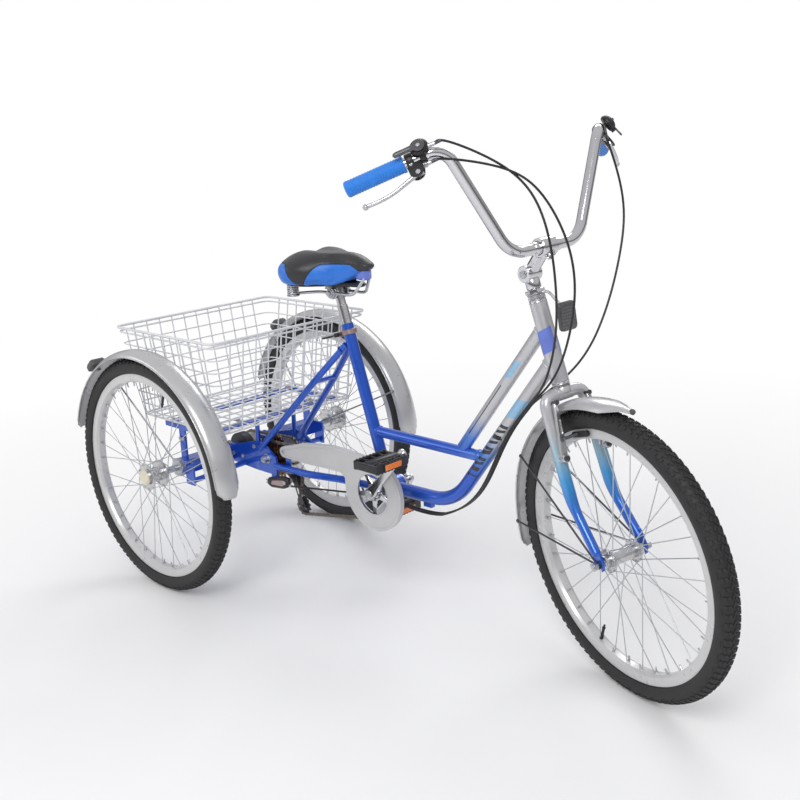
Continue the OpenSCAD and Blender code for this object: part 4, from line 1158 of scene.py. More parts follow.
def headset():
    """Turned headset races with a knurled ring and an eight-sided locknut."""
    shape = Shape()
    top = HEAD + HEAD_DIR * 182.6
    bore = [circle_points(STEERER_BORE, 48)]
    plate(shape, ridges(17, 96, 0.35, -0.25), bore, 8.6, aimed(top, HEAD_DIR), 0, 0.7)
    half_side = radians(22.5)
    octagon = [polar(18.6 / cos(half_side), half_side * (2 * k + 1)) for k in range(8)]
    plate(shape, octagon, bore, 8, aimed(top + HEAD_DIR * 12, HEAD_DIR), 0, 1.0)
    shape.revolve([(12.8, 5), (17.4, 5), (17.4, 6.4), (15.2, 7.5), (12.8, 7.5)], HEAD, HEAD_DIR, 48,
                  closed=True)
    piece("headset_rings", shape, "steering", M["chrome"], STEERED, ("headset_nuts",))
    cups = Shape()
    for base, way in ((HEAD + HEAD_DIR * 14, -1), (HEAD + HEAD_DIR * 176, 1)):
        cups.revolve([(12.9, 0.2), (18.4, 0.2), (18.4, 1.6), (17.2, 3.2), (17.6, 4.6), (16.6, 6.1),
                      (12.9, 6.1)], base, HEAD_DIR * way, 48, closed=True)
    piece("headset_cups", cups, "frame", M["chrome"])


headset()


STEM_AT = on_head(236)
BAR_MID = vec(990, 0, 890)
BAR_TOP = vec(949, 207, 1098)
BAR_END = vec(837, 343, 1036)


def stem():
    """The quill with its bolted clamp."""
    shape = Shape()
    quill = [(11, 110), (11.1, 111), (11.1, 203.5), (14.2, 204), (15, 206), (15, 222), (13.6, 225),
             (11.4, 228), (11, 240)]
    shape.revolve(quill, HEAD, HEAD_DIR, 40)
    shape.tube([STEM_AT - Y * 19, STEM_AT - Y * 17.5, STEM_AT + Y * 17.5, STEM_AT + Y * 19],
               [15.6, 17, 17, 15.6], 40)
    arm = BAR_MID - STEM_AT
    along = arm.normalized()
    up = along.cross(Y)
    length = arm.length
    body = [(-2, -12), (length * 0.5, -10.4), (length - 8, -13), (length - 8, 13), (length * 0.5, 10.4),
            (-2, 12)]
    shape.slab(soft(body, 5, 4), 21, basis(STEM_AT - up * 10.5, along, Y, up), 0, 4.5)
    plate(shape, circle_points(19, 56), [circle_points(12.75, 48)], 40, facing(BAR_MID, 20), 0, 1.6)
    # Split of the clamp with its pinch bolt, and the stem's own bolt
    ear = BAR_MID - up * 19 - along * 4
    for s in (-1, 1):
        shape.block((13, 17, 5.4), basis(ear + along * s * 4, up, Y, along), 0, 1.2, 4)
    shape.rod(ear - along * 9, ear + along * 9, 3, mat=1)
    shape.hexagon(ear + along * 6.8, along, 10, 5, 1)
    bolt_head = [(2.6, 4), (3, 4), (7.6, 3), (8.2, 1.4), (8.2, 0), (1, 0)]
    shape.revolve(bolt_head, STEM_AT + Y * 19, Y, 32, 1)
    shape.revolve(bolt_head[::-1], STEM_AT - Y * 19, -Y, 32, 1)
    piece("stem_casting", shape, "steering", [M["chrome"], M["steel"]], BARRED, ("stem",))


stem()


# ---------------------------------------------------------------- frame details

def wrapped(shape, start, along, radius, length, turn_from, turn_to, slant=0.0, mat=0, steps=14,
            lift=0.35):
    """A thin patch bent round a tube; slant shifts its far side along the tube."""
    m = aimed(start, along, Y * -1)
    verts, faces = [], []
    for k in range(steps + 1):
        a = lerp(turn_from, turn_to, k / steps)
        along_tube = slant * k / steps
        for h in (0.0, length):
            for r in (radius - 0.4, radius + lift):
                verts.append(m @ vec(*polar(r, a), h + along_tube))
    for k in range(steps):
        a, b = k * 4, (k + 1) * 4
        faces += [(a + 1, b + 1, b + 3, a + 3), (a, a + 2, b + 2, b), (a, b, b + 1, a + 1),
                  (a + 2, a + 3, b + 3, b + 2)]
    faces += [(0, 1, 3, 2), (steps * 4, steps * 4 + 2, steps * 4 + 3, steps * 4 + 1)]
    return shape.add(verts, faces, mat)


DOWN_SLOPE = radians(53.1)
# Radii at which a patch lies on the paint of each tube
LOWER_TUBE, UPPER_TUBE, HEAD_TUBE = 15.95, 14.35, 18.05
DOWN_DIR = vec(cos(DOWN_SLOPE), 0, sin(DOWN_SLOPE))


def down_at(z):
    """Where the lower down tube's middle line meets the height z."""
    return vec(966 + (z - 618) / tan(DOWN_SLOPE), 0, z)


def graphics():
    """Plain slanted bars and patches; they carry no lettering."""
    shape = Shape()
    start = down_at(395)
    for side in (-1, 1):
        turn = 0.0 if side < 0 else pi
        for i in range(9):
            at = start + DOWN_DIR * (i * 17)
            lean = 15 if i % 2 else 9
            wrapped(shape, at, DOWN_DIR, LOWER_TUBE, 8.0 if i % 3 else 11.5, turn - 0.62, turn + 0.55,
                    lean, 0)
        wrapped(shape, start + DOWN_DIR * 165, DOWN_DIR, LOWER_TUBE, 52, turn - 0.95, turn + 0.95,
                18 * -side, 1)
        wrapped(shape, start - DOWN_DIR * 14, DOWN_DIR, LOWER_TUBE, 3.0, turn - 0.9, turn + 0.9, 8, 0)
        upper = vec(983, 0, 735) - DOWN_DIR * 320
        wrapped(shape, upper, DOWN_DIR, UPPER_TUBE, 150, turn - 0.16, turn - 0.02, 0, 0)
        wrapped(shape, upper + DOWN_DIR * 168, DOWN_DIR, UPPER_TUBE, 46, turn - 0.5, turn + 0.5, 12, 1)
    for turn in (0.0, pi):
        wrapped(shape, on_head(70), HEAD_DIR, HEAD_TUBE, 46, turn - 1.3, turn + 1.3, 10, 2)
    piece("frame_graphics", shape, "frame", [M["ink"], M["pale"], M["purple"]], None, (),
          60)


graphics()


def weld_beads():
    """Beads at the visible tube joints, and the bolts of the rear frame."""
    shape = Shape()
    for at, axis, radius in (
            (down_at(655), DOWN_DIR, 15.7), (vec(972, 0, 720.3), DOWN_DIR, 14.1),
            (BB + vec(24, 0, 2), X, 15.7), (down_at(428) - X * 19, X, 12.5),
            (vec(BB.x, 0, BB.z) + SEAT_DIR * 20, SEAT_DIR, 14.3)):
        weld(shape, at, axis, radius, 1.9)
    weld(shape, vec(BB.x - 25, 0, 428), X, 12.5, 1.8)
    for side in (-1, 1):
        weld(shape, vec(505, side * 25.5, BB.z), vec(-1, side * 0.14, 0), 8.7, 1.6)
        weld(shape, vec(402, side * 16.5, 616), vec(-94, side * 26, -99), 7.6, 1.5)
    piece("weld_beads", shape, "frame", M["frame"], None, (), 60)
    fittings = Shape()
    for x in CROSS_BARS_X:
        for y in (-192, 192):
            fittings.hexagon(vec(x, y, 407), Z, 10, 5)
            fittings.ring(3, 8, 0, 1.2, vec(x, y, 407), Z, 24)
    for side in (-1, 1):
        for x, z in ((20, 300), (60, 300), (110, 335)):
            fittings.hexagon(vec(x, side * 68, z), Y * side, 10, 5)
        for x in (-6, 6):
            fittings.hexagon(vec(x, side * 210, 372), Y * side, 9, 5)
    piece("frame_bolts", fittings, "frame", M["steel"])


weld_beads()


def seat_clamp():
    """Split collar with its skewer and nut, and the quick release lever."""
    at = BB + SEAT_DIR * 370
    fwd = Y.cross(SEAT_DIR)
    m = basis(at, fwd, Y, SEAT_DIR)
    shape = Shape()
    outline = arc(19, -2.8, 2.8, 44) + [(-32, 9), (-32, 1.6), (-14.5, 1.6)]
    outline += arc(14.4, pi - 0.11, -pi + 0.11, 44)
    outline += [(-14.5, -1.6), (-32, -1.6), (-32, -9)]
    plate(shape, outline, [], 12, m, 0, 0.9)
    shape.rod(m @ vec(-26, -22, 6), m @ vec(-26, 17, 6), 2.5, mat=1)
    shape.revolve([(2, 0), (6, 0), (6, 4.6), (4.6, 6), (1, 6)], m @ vec(-26, 11, 6), Y, 32, 1)
    piece("seat_collar", shape, "frame", [M["pink"], M["dark_steel"]], None, ("seat_clamp",))
    lever = Shape()
    hinge = m @ shift(-26, -18, 6)
    lever.revolve([(1, -5), (5.2, -5), (6, -4.2), (6, 4.2), (5.2, 5), (1, 5)], hinge.translation,
                  SEAT_DIR, 28)
    path = [hinge @ Vector(p) for p in ((-3, -3, 0), (-16, -4.2, 0), (-34, -3.2, 0.4), (-49, -1.6, 1.2))]
    lever.tube(through(path, 6), [3.6] * 6 + [4.1] * 6 + [3.9] * 6 + [3.0], 16, flat=0.62, hint=SEAT_DIR)
    piece("seat_quick_lever", lever, "seat_lever", M["black"], None,
          ("seat_clamp_lever",))


seat_clamp()


# ---------------------------------------------------------------- drive

GUIDE = joint_at("guide_pulley_spin")
TENSION = joint_at("tension_pulley_spin")
RIGHT_EYE = joint_at("right_pedal_spin")
LEFT_EYE = joint_at("left_pedal_spin")
PITCH = 12.7
PLATE_R = 3.9
CHAIN_Y = GUIDE.y
AXLE_CHAIN_Y = 14.0
CABLE_ENTRY = vec(262, -80, 262)
CRANK_TEETH, MIDDLE_TEETH, FREEWHEEL_TEETH, PULLEY_TEETH = 34, 18, 20, 11


def pitch_radius(teeth):
    return PITCH / 2 / sin(pi / teeth)


def toothed(radius, teeth, tall=3.4, deep=3.2):
    """Outline of a sprocket whose teeth stand tall above radius and whose roots lie deep below it."""
    out = []
    for i in range(teeth):
        for share, r in ((0.0, -deep), (0.16, -deep * 0.6), (0.34, tall * 0.8), (0.44, tall),
                         (0.52, tall), (0.62, tall * 0.8), (0.80, -deep * 0.6)):
            a = 2 * pi * (i + share) / teeth
            out.append(polar(radius + r * 0.78, a))
    return out


def crank_arm(shape, eye, outer_y, way):
    """A waisted crank that leans outward from the spindle to the pedal axle; way is the outward side."""
    root = vec(BB.x, outer_y - way * 11, BB.z)
    tip = vec(eye.x, outer_y - way, eye.z)
    span = tip - root
    d = span.normalized()
    out = (Y * way - (Y * way).dot(d) * d).normalized()
    m = basis(root, d, -out.cross(d), -out)
    shape.slab(capsule(15.4, 12, span.length, 12, 9.6), 11, m, 0, 3.2)
    shape.revolve([(1, 1.6), (5.4, 1.6), (6, 0.6), (9.4, 0.6), (10.4, -0.4), (10.4, -3), (1, -3)], root,
                  Y * way, 36)
    shape.rod(root - Y * way * 10, root, 12.5, sides=32)
    thread = vec(eye.x, outer_y, eye.z)
    shape.revolve([(1, -1), (7.4, -1), (8.6, 0), (8.6, 2), (6, 3), (6, 26), (1, 26)], thread, Y * way, 32,
                  1)
    shape.rod(thread, vec(eye.x, way * 184, eye.z), 5.4, mat=1)


def cranks():
    """Right crank with its five-armed spider and chainring, plain left crank, and the spindle."""
    shape = Shape()
    crank_arm(shape, RIGHT_EYE, -82, -1)
    radius = pitch_radius(CRANK_TEETH)
    at = vec(BB.x, 0, BB.z)
    plate(shape, toothed(radius, CRANK_TEETH), [circle_points(radius - 13, 72)], 2.4,
          facing(at, CHAIN_Y + 1.2), 1, 0.4)
    shape.revolve([(8.6, -44), (17, -44), (18, -45), (18, -50), (21, -52), (21, -56), (16.5, -62),
                   (15.5, -69), (8.6, -69)], at, Y, 48, 0, closed=True)
    for i in range(5):
        a = radians(72 * i + 20)
        d = vec(cos(a), 0, -sin(a))
        m = basis(vec(BB.x, CHAIN_Y - 2.6, BB.z), d, d.cross(Y), -Y)
        shape.slab([(13, -9.5), (30, -6.4), (48, -5.6), (57, -7.6), (60, 0), (57, 7.6), (48, 5.6),
                    (30, 6.4), (13, 9.5)], 4.2, m, 0, 1.3)
        shape.revolve([(1, 2.0), (3.2, 2.0), (4.6, 0.6), (4.6, 0), (1, 0)], m @ vec(53.5, 0, 4.2), -Y, 20,
                      2)
    piece("drive_side_crank", shape, "crankset", [M["chrome"], M["steel"], M["dark_steel"]],
          None, ("drive_crank",))
    left = Shape()
    crank_arm(left, LEFT_EYE, 76, 1)
    piece("plain_side_crank", left, "crankset", [M["chrome"], M["steel"]], None,
          ("left_crank",))
    spindle = Shape()
    spindle.revolve([(1, -74), (8.5, -74), (8.5, -35), (8.4, 35), (8.5, 74), (1, 74)], at, Y, 32)
    piece("bottom_spindle", spindle, "crankset", M["steel"], None, ("crank_spindle",))


cranks()


def pedal(name, eye, way, body, node):
    """Moulded cage pedal with toothed rails, ribs, and a ridged reflector at each end."""
    shape = Shape()
    at = vec(eye.x, 0, eye.z)

    def put(x, y, z):
        return Matrix.Translation(at + vec(x, way * y, z))

    rail_x, mid_y = 32.4, 142
    for s in (-1, 1):
        shape.block((6.4, 98, 21), put(s * rail_x, mid_y, 0), 0, 1.6, 1.6)
        for k in range(9):
            for z in (-10.8, 10.8):
                shape.block((4.4, 5.2, 2.4), put(s * rail_x, 101 + k * 10.2, z), 0, 0.8, 1.0)
        shape.block((2.6, 54, 17), put(s * 36.9, mid_y, 0), 0, 0.8, 0.8)
        shape.block((2.2, 49, 13), put(s * 37.8, mid_y, 0), 1, 0.7, 0.8)
        for k in range(12):
            shape.block((0.9, 2.2, 11.6), put(s * 38.9, 120.0 + k * 4, 0), 1, 0.35, 0.4)
    for y in (97, 119, mid_y, 165, 187.5):
        shape.block((62, 5.0 if 100 < y < 180 else 8.6, 17), put(0, y, 0), 0, 1.6, 1.0)
    for s in (-1, 1):
        shape.block((4.6, 92, 15), put(s * 13.5, mid_y, 0), 0, 1.2, 1.0)
    shape.tube([at + Y * way * 93, at + Y * way * 96, at + Y * way * 186, at + Y * way * 190],
               [9.5, 10.6, 10.2, 7.5], 28)
    shape.revolve([(1, 1.5), (5, 1.5), (7, 0), (1, 0)], at + Y * way * 190, Y * way, 24)
    piece(name, shape, body, [M["black"], M["orange"]], None, (node,))


pedal("right_cage_pedal", RIGHT_EYE, -1, "right_pedal_body", "right_pedal")
pedal("left_cage_pedal", LEFT_EYE, 1, "left_pedal_body", "left_pedal")


# ---------------------------------------------------------------- chains

def on_sprocket(at, teeth, start, end, steps):
    """Points round a sprocket's pitch circle, between two angles in degrees."""
    arc_xz = arc(pitch_radius(teeth), radians(start), radians(end), steps + 1)
    return [vec(at.x + x, 0, at.z + z) for x, z in arc_xz]


def evenly(points, count):
    """Points at equal steps along the closed polyline."""
    n = len(points)
    lengths = [(points[(i + 1) % n] - points[i]).length for i in range(n)]
    total = sum(lengths)
    out, i, done = [], 0, 0.0
    for k in range(count):
        want = total * k / count
        while done + lengths[i] < want and i < n - 1:
            done += lengths[i]
            i += 1
        out.append(points[i].lerp(points[(i + 1) % n], (want - done) / max(lengths[i], 1e-6)))
    return out


def chain(choose, path, y, sprockets):
    """Roller chain: inner and outer plates in turn, with a roller and a pin at every joint.

    choose picks the shape that takes a link, from the link's middle."""
    total = sum((path[(i + 1) % len(path)] - path[i]).length for i in range(len(path)))
    count = 2 * round(total / PITCH / 2)
    joints_at = evenly(path, count)
    for i, a in enumerate(joints_at):
        b = joints_at[(i + 1) % count]
        d = (b - a).normalized()
        span = (b - a).length
        gap = 1.75 if i % 2 else 2.75
        target = choose((a + b) / 2)
        for s in (-1, 1):
            m = basis(vec(a.x, y + s * gap, a.z), d, d.cross(Y * s), Y * s)
            outline = arc(PLATE_R, -1.2, 1.2, 4, span) + [(span / 2, 2.9)]
            outline += arc(PLATE_R, 1.94, 4.34, 4) + [(span / 2, -2.9)]
            target.slab(outline, 0.95, m, 0, 0.22)
        # Where a sprocket stands between the plates, pin and roller leave room for its teeth
        on_teeth = any(abs((a - vec(at.x, 0, at.z)).length - pitch_radius(teeth)) < 1.2 for at,
                       teeth in sprockets)
        near = 1.45 if on_teeth else 0.0
        for s in (-1, 1):
            inner_end = vec(a.x, y + s * near, a.z)
            target.rod(inner_end, vec(a.x, y + s * 3.9, a.z), 1.5, sides=8)
            target.rod(inner_end, vec(a.x, y + s * 1.8, a.z), 3.6, sides=10)


def chains():
    """The drive chain and the axle chain; the run at the derailleur is made as a separate piece."""
    shape, loop = Shape(), Shape()

    def part(p):
        """Links near the guide pulley and on the lower run go into a separate piece."""
        near_guide = (p - vec(GUIDE.x, 0, GUIDE.z)).length < 26
        return loop if near_guide or (p.z < 262 and 200 < p.x < 450) else shape

    drive = (on_sprocket(BB, CRANK_TEETH, 93, -93, 40) + on_sprocket(TENSION, PULLEY_TEETH, 267, 160, 14)
             + on_sprocket(GUIDE, PULLEY_TEETH, -20, 72, 12) + on_sprocket(MID_HUB, FREEWHEEL_TEETH, 250,
             93, 24))
    chain(part, drive, CHAIN_Y, [(BB, CRANK_TEETH), (TENSION, PULLEY_TEETH), (GUIDE, PULLEY_TEETH),
                                 (MID_HUB, FREEWHEEL_TEETH)])
    rear = on_sprocket(MID_HUB, MIDDLE_TEETH, 86, -94, 26) + on_sprocket(AXLE, MIDDLE_TEETH, 266, 86, 26)
    chain(lambda p: shape, rear, AXLE_CHAIN_Y, [(MID_HUB, MIDDLE_TEETH), (AXLE, MIDDLE_TEETH)])
    piece("roller_chains", shape, "frame", M["chain"], None, ("chains",), 50)
    lower = piece("tensioned_chain_run", loop, None, M["chain"], None, (), 50)
    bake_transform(lower)


chains()


# ---------------------------------------------------------------- chain guard

def chain_guard():
    """A flat shell with a disc round the chainring, a rolled edge and a tapering tail."""
    face_y = node_box("chain_guard")[0].y
    disc = vec(BB.x + 7, BB.z)
    tail = vec(222, 340)
    outline = [disc + vec(91 * cos(a), 89 * sin(a)) for a in np.linspace(-2.94, 1.78, 52)]
    outline += [Vector(p) for p in ((472, 388), (440, 389.6), (400, 390), (350, 384), (300, 377),
                                    (250, 362))]
    outline += [tail + Vector(p) for p in arc(14, 1.75, 4.55, 16)]
    outline += [Vector(p) for p in ((260, 326), (300, 326), (380, 329), (428, 330), (444, 320))]
    opening = circle_points(48, 56, disc.x, disc.y)
    screw = circle_points(2.6, 16, tail.x, tail.y)
    shape = Shape()
    plate(shape, outline, [opening, screw], 1.7, facing(ORIGIN, face_y + 1.7), 0, 0.75)
    loop = flat_loop(outline)
    inner_y = -54.5
    plate(shape, loop, [inset(loop, 1.6)], inner_y - face_y - 0.3, facing(ORIGIN, inner_y), 0, 0.3)
    # Raised bead inside the rim, and a rolled lip round the opening
    bead = [vec(p.x, face_y + 0.35, p.y) for p in inset(loop, 7.5)]
    shape.tube(bead, 1.15, 8, closed=True, hint=Y)
    lip = [vec(x, face_y + 0.3, z) for x, z in circle_points(49.6, 64, disc.x, disc.y)]
    shape.tube(lip, 1.5, 8, closed=True, hint=Y)
    head = vec(tail.x, face_y + 0.8, tail.y)
    shape.revolve([(1, 2.4), (3.4, 2.2), (4.8, 1.2), (5.2, 0), (1, 0)], head, -Y, 28, 1)
    shape.block((7.6, 1.0, 0.8), facing(head, head.y - 2.2), 1, 0.2, 0.3)
    piece("guard_shell", shape, "frame", [M["grey"], M["steel"]], None, ("chain_guard",))


chain_guard()


# ---------------------------------------------------------------- derailleur

def derailleur():
    """Body on its bolt with two parallel plates, the swinging cage, and the two toothed wheels."""
    bolt = vec(182, -61, 258)
    shape = Shape()
    shape.revolve([(4, 0), (4, 13), (9.6, 13.6), (10.4, 15), (10.4, 22), (9, 24), (4.6, 24.4), (4, 22.6),
                   (1, 22.6)], bolt, -Y, 40)
    outer = soft(((172, 251), (184, 244), (236, 250), (256, 260), (255, 280), (238, 284), (192, 272),
                  (173, 268)), 9)
    shape.slab(outer, 13.5, facing(ORIGIN, -74), 0, 4.0)
    inner = soft(((190, 254), (232, 257), (246, 265), (240, 275), (194, 265)), 5)
    shape.slab(inner, 1.4, facing(ORIGIN, -87), 1, 0.5)
    shape.revolve([(1, 0), (8, 0), (8, 6), (1, 6)], vec(GUIDE.x, -67.2, GUIDE.z), -Y, 32, 1)
    shape.hexagon(vec(GUIDE.x + 1, -87, GUIDE.z - 1), -Y, 9, 3, 2)
    shape.hexagon(bolt - Y * 23.5, -Y, 8, 2.4, 2)
    for z in (252, 259):
        shape.rod(vec(170, -80, z), vec(163, -80, z), 1.8, mat=2, sides=12)
    # Barrel where the cable enters
    shape.rod(CABLE_ENTRY, vec(248, -80, 264), 3.4, 3.0, mat=2, sides=16)
    piece("changer_body", shape, "frame", [M["black"], M["pink"], M["steel"]], None,
          ("derailleur_body",))
    cage = Shape()
    v = TENSION - GUIDE
    v = vec(v.x, 0, v.z)
    d = v.normalized()
    for y in (-53.4, -39.0):
        m = basis(vec(GUIDE.x, y, GUIDE.z), d, d.cross(Y), -Y)
        slot = [(p[0] + v.length / 2, p[1]) for p in round_rect(26, 6, 3)]
        plate(cage, capsule(10.5, 9.5, v.length, 10, 7.0), [circle_points(3.05, 16),
                                                            circle_points(3.05, 16, v.length), slot], 1.6,
              m, 0, 0.4)
    for at in (GUIDE, TENSION):
        cage.rod(vec(at.x, -57, at.z), vec(at.x, -37, at.z), 3.0)
        cage.hexagon(vec(at.x, -55.2, at.z), -Y, 8, 3)
        cage.hexagon(vec(at.x, -38.9, at.z), Y, 8, 2)
    cage.rod(vec(GUIDE.x, -66, GUIDE.z), vec(GUIDE.x, -56, GUIDE.z), 6)
    piece("changer_cage", cage, "tension_arm", M["dark_steel"], None, ("derailleur_cage",))
    for name, at, body, node in (("guide_jockey", GUIDE, "guide_wheel", "guide_pulley"),
                                 ("tension_jockey", TENSION, "tension_wheel", "tension_pulley")):
        wheel = Shape()
        teeth = toothed(pitch_radius(PULLEY_TEETH) - 1.2, PULLEY_TEETH, 2.2, 4.2)
        holes = [circle_points(3.06, 20)] + [circle_points(2.5, 12, *spot)
                                             for spot in circle_points(9.5, 5)]
        plate(wheel, teeth, holes, 2.6, facing(at, CHAIN_Y + 1.3), 0, 0.4)
        wheel.ring(3.06, 6, -2.2, 2.2, vec(at.x, CHAIN_Y, at.z), Y, 24)
        piece(name, wheel, body, M["black"], None, (node,))


derailleur()


# ---------------------------------------------------------------- grips, levers, shifter, bell

def grip_place(side):
    """Local x up the bar from the end of the grip, local y towards the brake lever."""
    end, top = (vec(p.x, side * p.y, p.z) for p in (BAR_END, BAR_TOP))
    x = (top - end).normalized()
    w = vec(0.8, 0, -0.6)
    y = (w - w.dot(x) * x).normalized()
    return BARRED @ basis(end, x, y, x.cross(y))


RIGHT_GRIP, LEFT_GRIP = grip_place(-1), grip_place(1)
LEVER_PIVOT = vec(130, 31, 0)


def bar_band(shape, low, high, radius, chamfer, place):
    """A clamp band round the bar, from low to high along it."""
    bore, shoulder = 11.3, radius - 0.6
    profile = [(bore, low), (shoulder, low), (radius, low + chamfer), (radius, high - chamfer),
               (shoulder, high), (bore, high)]
    shape.revolve(profile, ORIGIN, X, 48, place=place, closed=True)


def grips():
    """Foam grips with shallow rings and a rolled collar."""
    shape = Shape()
    profile = [(1, -4), (9, -4), (12.6, -3.2), (14.8, -1), (15.5, 2)]
    profile += [(14.95 + 0.5 * sin(k * pi / 1.5), 6 + k * 1.86) for k in range(54)]
    profile += [(15.5, 108), (15.9, 110), (15.5, 112), (12, 112)]
    for place in (RIGHT_GRIP, LEFT_GRIP):
        shape.revolve(profile, ORIGIN, X, 56, place=place)
    piece("foam_grips", shape, "steering", M["grip"], None, ("grips",), 60)


grips()


def brackets():
    """Lever housings: a band round the bar, two cheeks, a pivot pin and the cable adjuster."""
    shape = Shape()
    for place in (RIGHT_GRIP, LEFT_GRIP):
        bar_band(shape, 116, 130, 15.2, 1, place)
        cheek = soft(((114, 12), (144, 12), (143, 26), (138, 38), (124, 41), (115, 34)), 6, 4)
        for z in (-7.4, 4.5):
            shape.slab(cheek, 2.9, shift(0, 0, z), 0, 1.1, place)
        shape.block((24, 10, 13), shift(128, 16.5, 0), 0, 1.6, 3, place)
        pin = [(1, -8), (4.2, -8), (4.6, -7.2), (4.6, 7.2), (4.2, 8), (1, 8)]
        shape.revolve(pin, LEVER_PIVOT, Z, 24, 1, place)
        # Cable adjuster with its knurled collar
        shape.revolve([(2, 136), (4.2, 136), (4.2, 142), (6, 142.6)] + [(6.2 if k % 2 else 5.6,
                      143 + k * 0.8) for k in range(8)] + [(5, 150), (4, 151), (3.8, 158), (2.9, 159),
                                                           (2, 159)], vec(0, 19, 0), X, 28, 1, place)
        shape.hexagon(vec(123, 12, -9.6), Z, 7, 3.2, 1, place)
    piece("lever_housings", shape, "steering", [M["black"], M["steel"]], None,
          ("lever_brackets",))


brackets()


def brake_levers():
    """Flat curved blades with a ball end, on their pivots."""
    for name, place, body, node in (("right_lever_blade", RIGHT_GRIP, "right_lever", "right_brake_lever"),
                                    ("left_lever_blade", LEFT_GRIP, "left_lever", "left_brake_lever")):
        shape = Shape()
        path = through([LEVER_PIVOT + Vector(v) for v in ((8, -2.4, 0), (-6, 1.5, 0), (-26, 8, 0),
                                                          (-50, 16, 0), (-70, 19.6, 0), (-90, 20.6, 0),
                                                          (-106, 20, 0))], 7)
        n = len(path)
        radii = [lerp(4.4, 3.4, smoothstep(i / n * 1.7)) for i in range(n)]
        shape.tube(path, radii, 20, place=place, flat=1.22, hint=Z)
        shape.ball(LEVER_PIVOT + vec(-110, 20, 0), 5.6, place=place)
        shape.block((17, 10, 7.6), Matrix.Translation(LEVER_PIVOT + X), 0, 1.4, 3, place)
        shape.rod(LEVER_PIVOT - Z * 7.9, LEVER_PIVOT + Z * 7.9, 2.5, place=place)
        piece(name, shape, body, M["alloy"], None, (node,))


brake_levers()


def shifter():
    """Ribbed round pod with its cable outlet, and the paddle on top of it."""
    place = RIGHT_GRIP
    at = vec(147.5, -6, 0)
    pod = Shape()
    bar_band(pod, 141.5, 153.5, 15.2, 0.9, place)
    pod.slab(ridges(17, 72, 0.5, -0.1), 11.6, Matrix.Translation(at + vec(0, 0, -24.4)), 0, 2.6, place)
    pod.block((26, 16, 10), Matrix.Translation(at + vec(1, 4, -17)), 0, 1.6, 4, place)
    pod.revolve([(1, -29.4), (3.0, -29.4), (4, -28.6), (4, -23), (1, -23)], at, Z, 28, 1, place)
    pod.revolve([(2, 8), (4.6, 8), (4.6, 20), (3.6, 21), (3.6, 29), (2, 29)], at + vec(0, 4, -18), X, 24,
                1, place)
    piece("shifter_housing", pod, "steering", [M["black"], M["steel"]], None,
          ("shifter_pod",))
    paddle = Shape()
    m = Matrix.Translation(at + vec(0, 0, -28.2))
    blade = arc(12, -2.6, 2.6, 24)
    blade += [(-26, 5.6), (-42, 6.0), (-47, 4.4), (-49, 0), (-47, -4.4), (-42, -6.0), (-26, -5.6)]
    plate(paddle, blade, [circle_points(4.1, 24)], 3.2, m, 0, 1.0, place)
    paddle.block((30, 3.4, 1.0), Matrix.Translation(at + vec(-30, 0, -28.5)), 1, 0.4, 1.4, place)
    for k in range(5):
        paddle.block((1.6, 9.2, 1.2), Matrix.Translation(at + vec(-34 - k * 2.9, 0, -24.7)), 0, 0.4, 0.4,
                     place)
    piece("shift_paddle_blade", paddle, "shift_paddle", [M["dark"], M["stay"]], None,
          ("shifter_lever",))


shifter()


def bell():
    """Domed bell with a small striker beside it."""
    place = LEFT_GRIP
    at = vec(147, 0, 0)
    shape = Shape()
    bar_band(shape, 141, 153, 14.8, 1, place)
    shape.rod(at + Z * 12, at + Z * 18, 5, place=place)
    shape.revolve([(1, 17), (15.6, 17), (17.2, 17.8), (17.2, 19.4), (16, 20), (1, 20)], at, Z, 48, 0,
                  place)
    dome = [(16.0, 20.5), (18.2, 20.4), (18.5, 21.6)]
    dome += [(18.5 * cos(t), 21.6 + 13.4 * sin(t)) for t in np.linspace(0.12, 1.38, 12)]
    dome += [(2.6, 35.2), (2.6, 36.4), (1.6, 37.0), (0.4, 37.1)]
    shape.revolve(dome, at, Z, 56, 0, place)
    shape.rod(at + vec(0, 19.5, 17), at + vec(0, 19.5, 24.8), 2, place=place)
    shape.block((6, 6, 2.6), Matrix.Translation(at + vec(0, 17.5, 18.4)), 0, 0.5, 1.5, place)
    piece("bell_dome", shape, "steering", M["black"], None, ("bell",))
    striker = Shape()
    spot = at + vec(0, 19.5, 25.2)
    tongue = arc(4, -4.1, 0.96, 16)
    tongue += [(3.2, 14), (2.4, 17.6), (0, 18.6), (-2.4, 17.6), (-3.2, 14)]
    striker.slab(tongue, 3, Matrix.Translation(spot), 0, 0.9, place)
    for k in range(3):
        striker.block((5, 1, 0.9), Matrix.Translation(spot + vec(0, 11 + 2.2 * k, 3.2)), 0, 0.3, 0.3,
                      place)
    piece("bell_thumb_lever", striker, "striker", M["dark"], None, ("bell_striker",))


bell()


# ---------------------------------------------------------------- cables

CABLE_R = 2.3
SMOOTHING_PASSES = 24


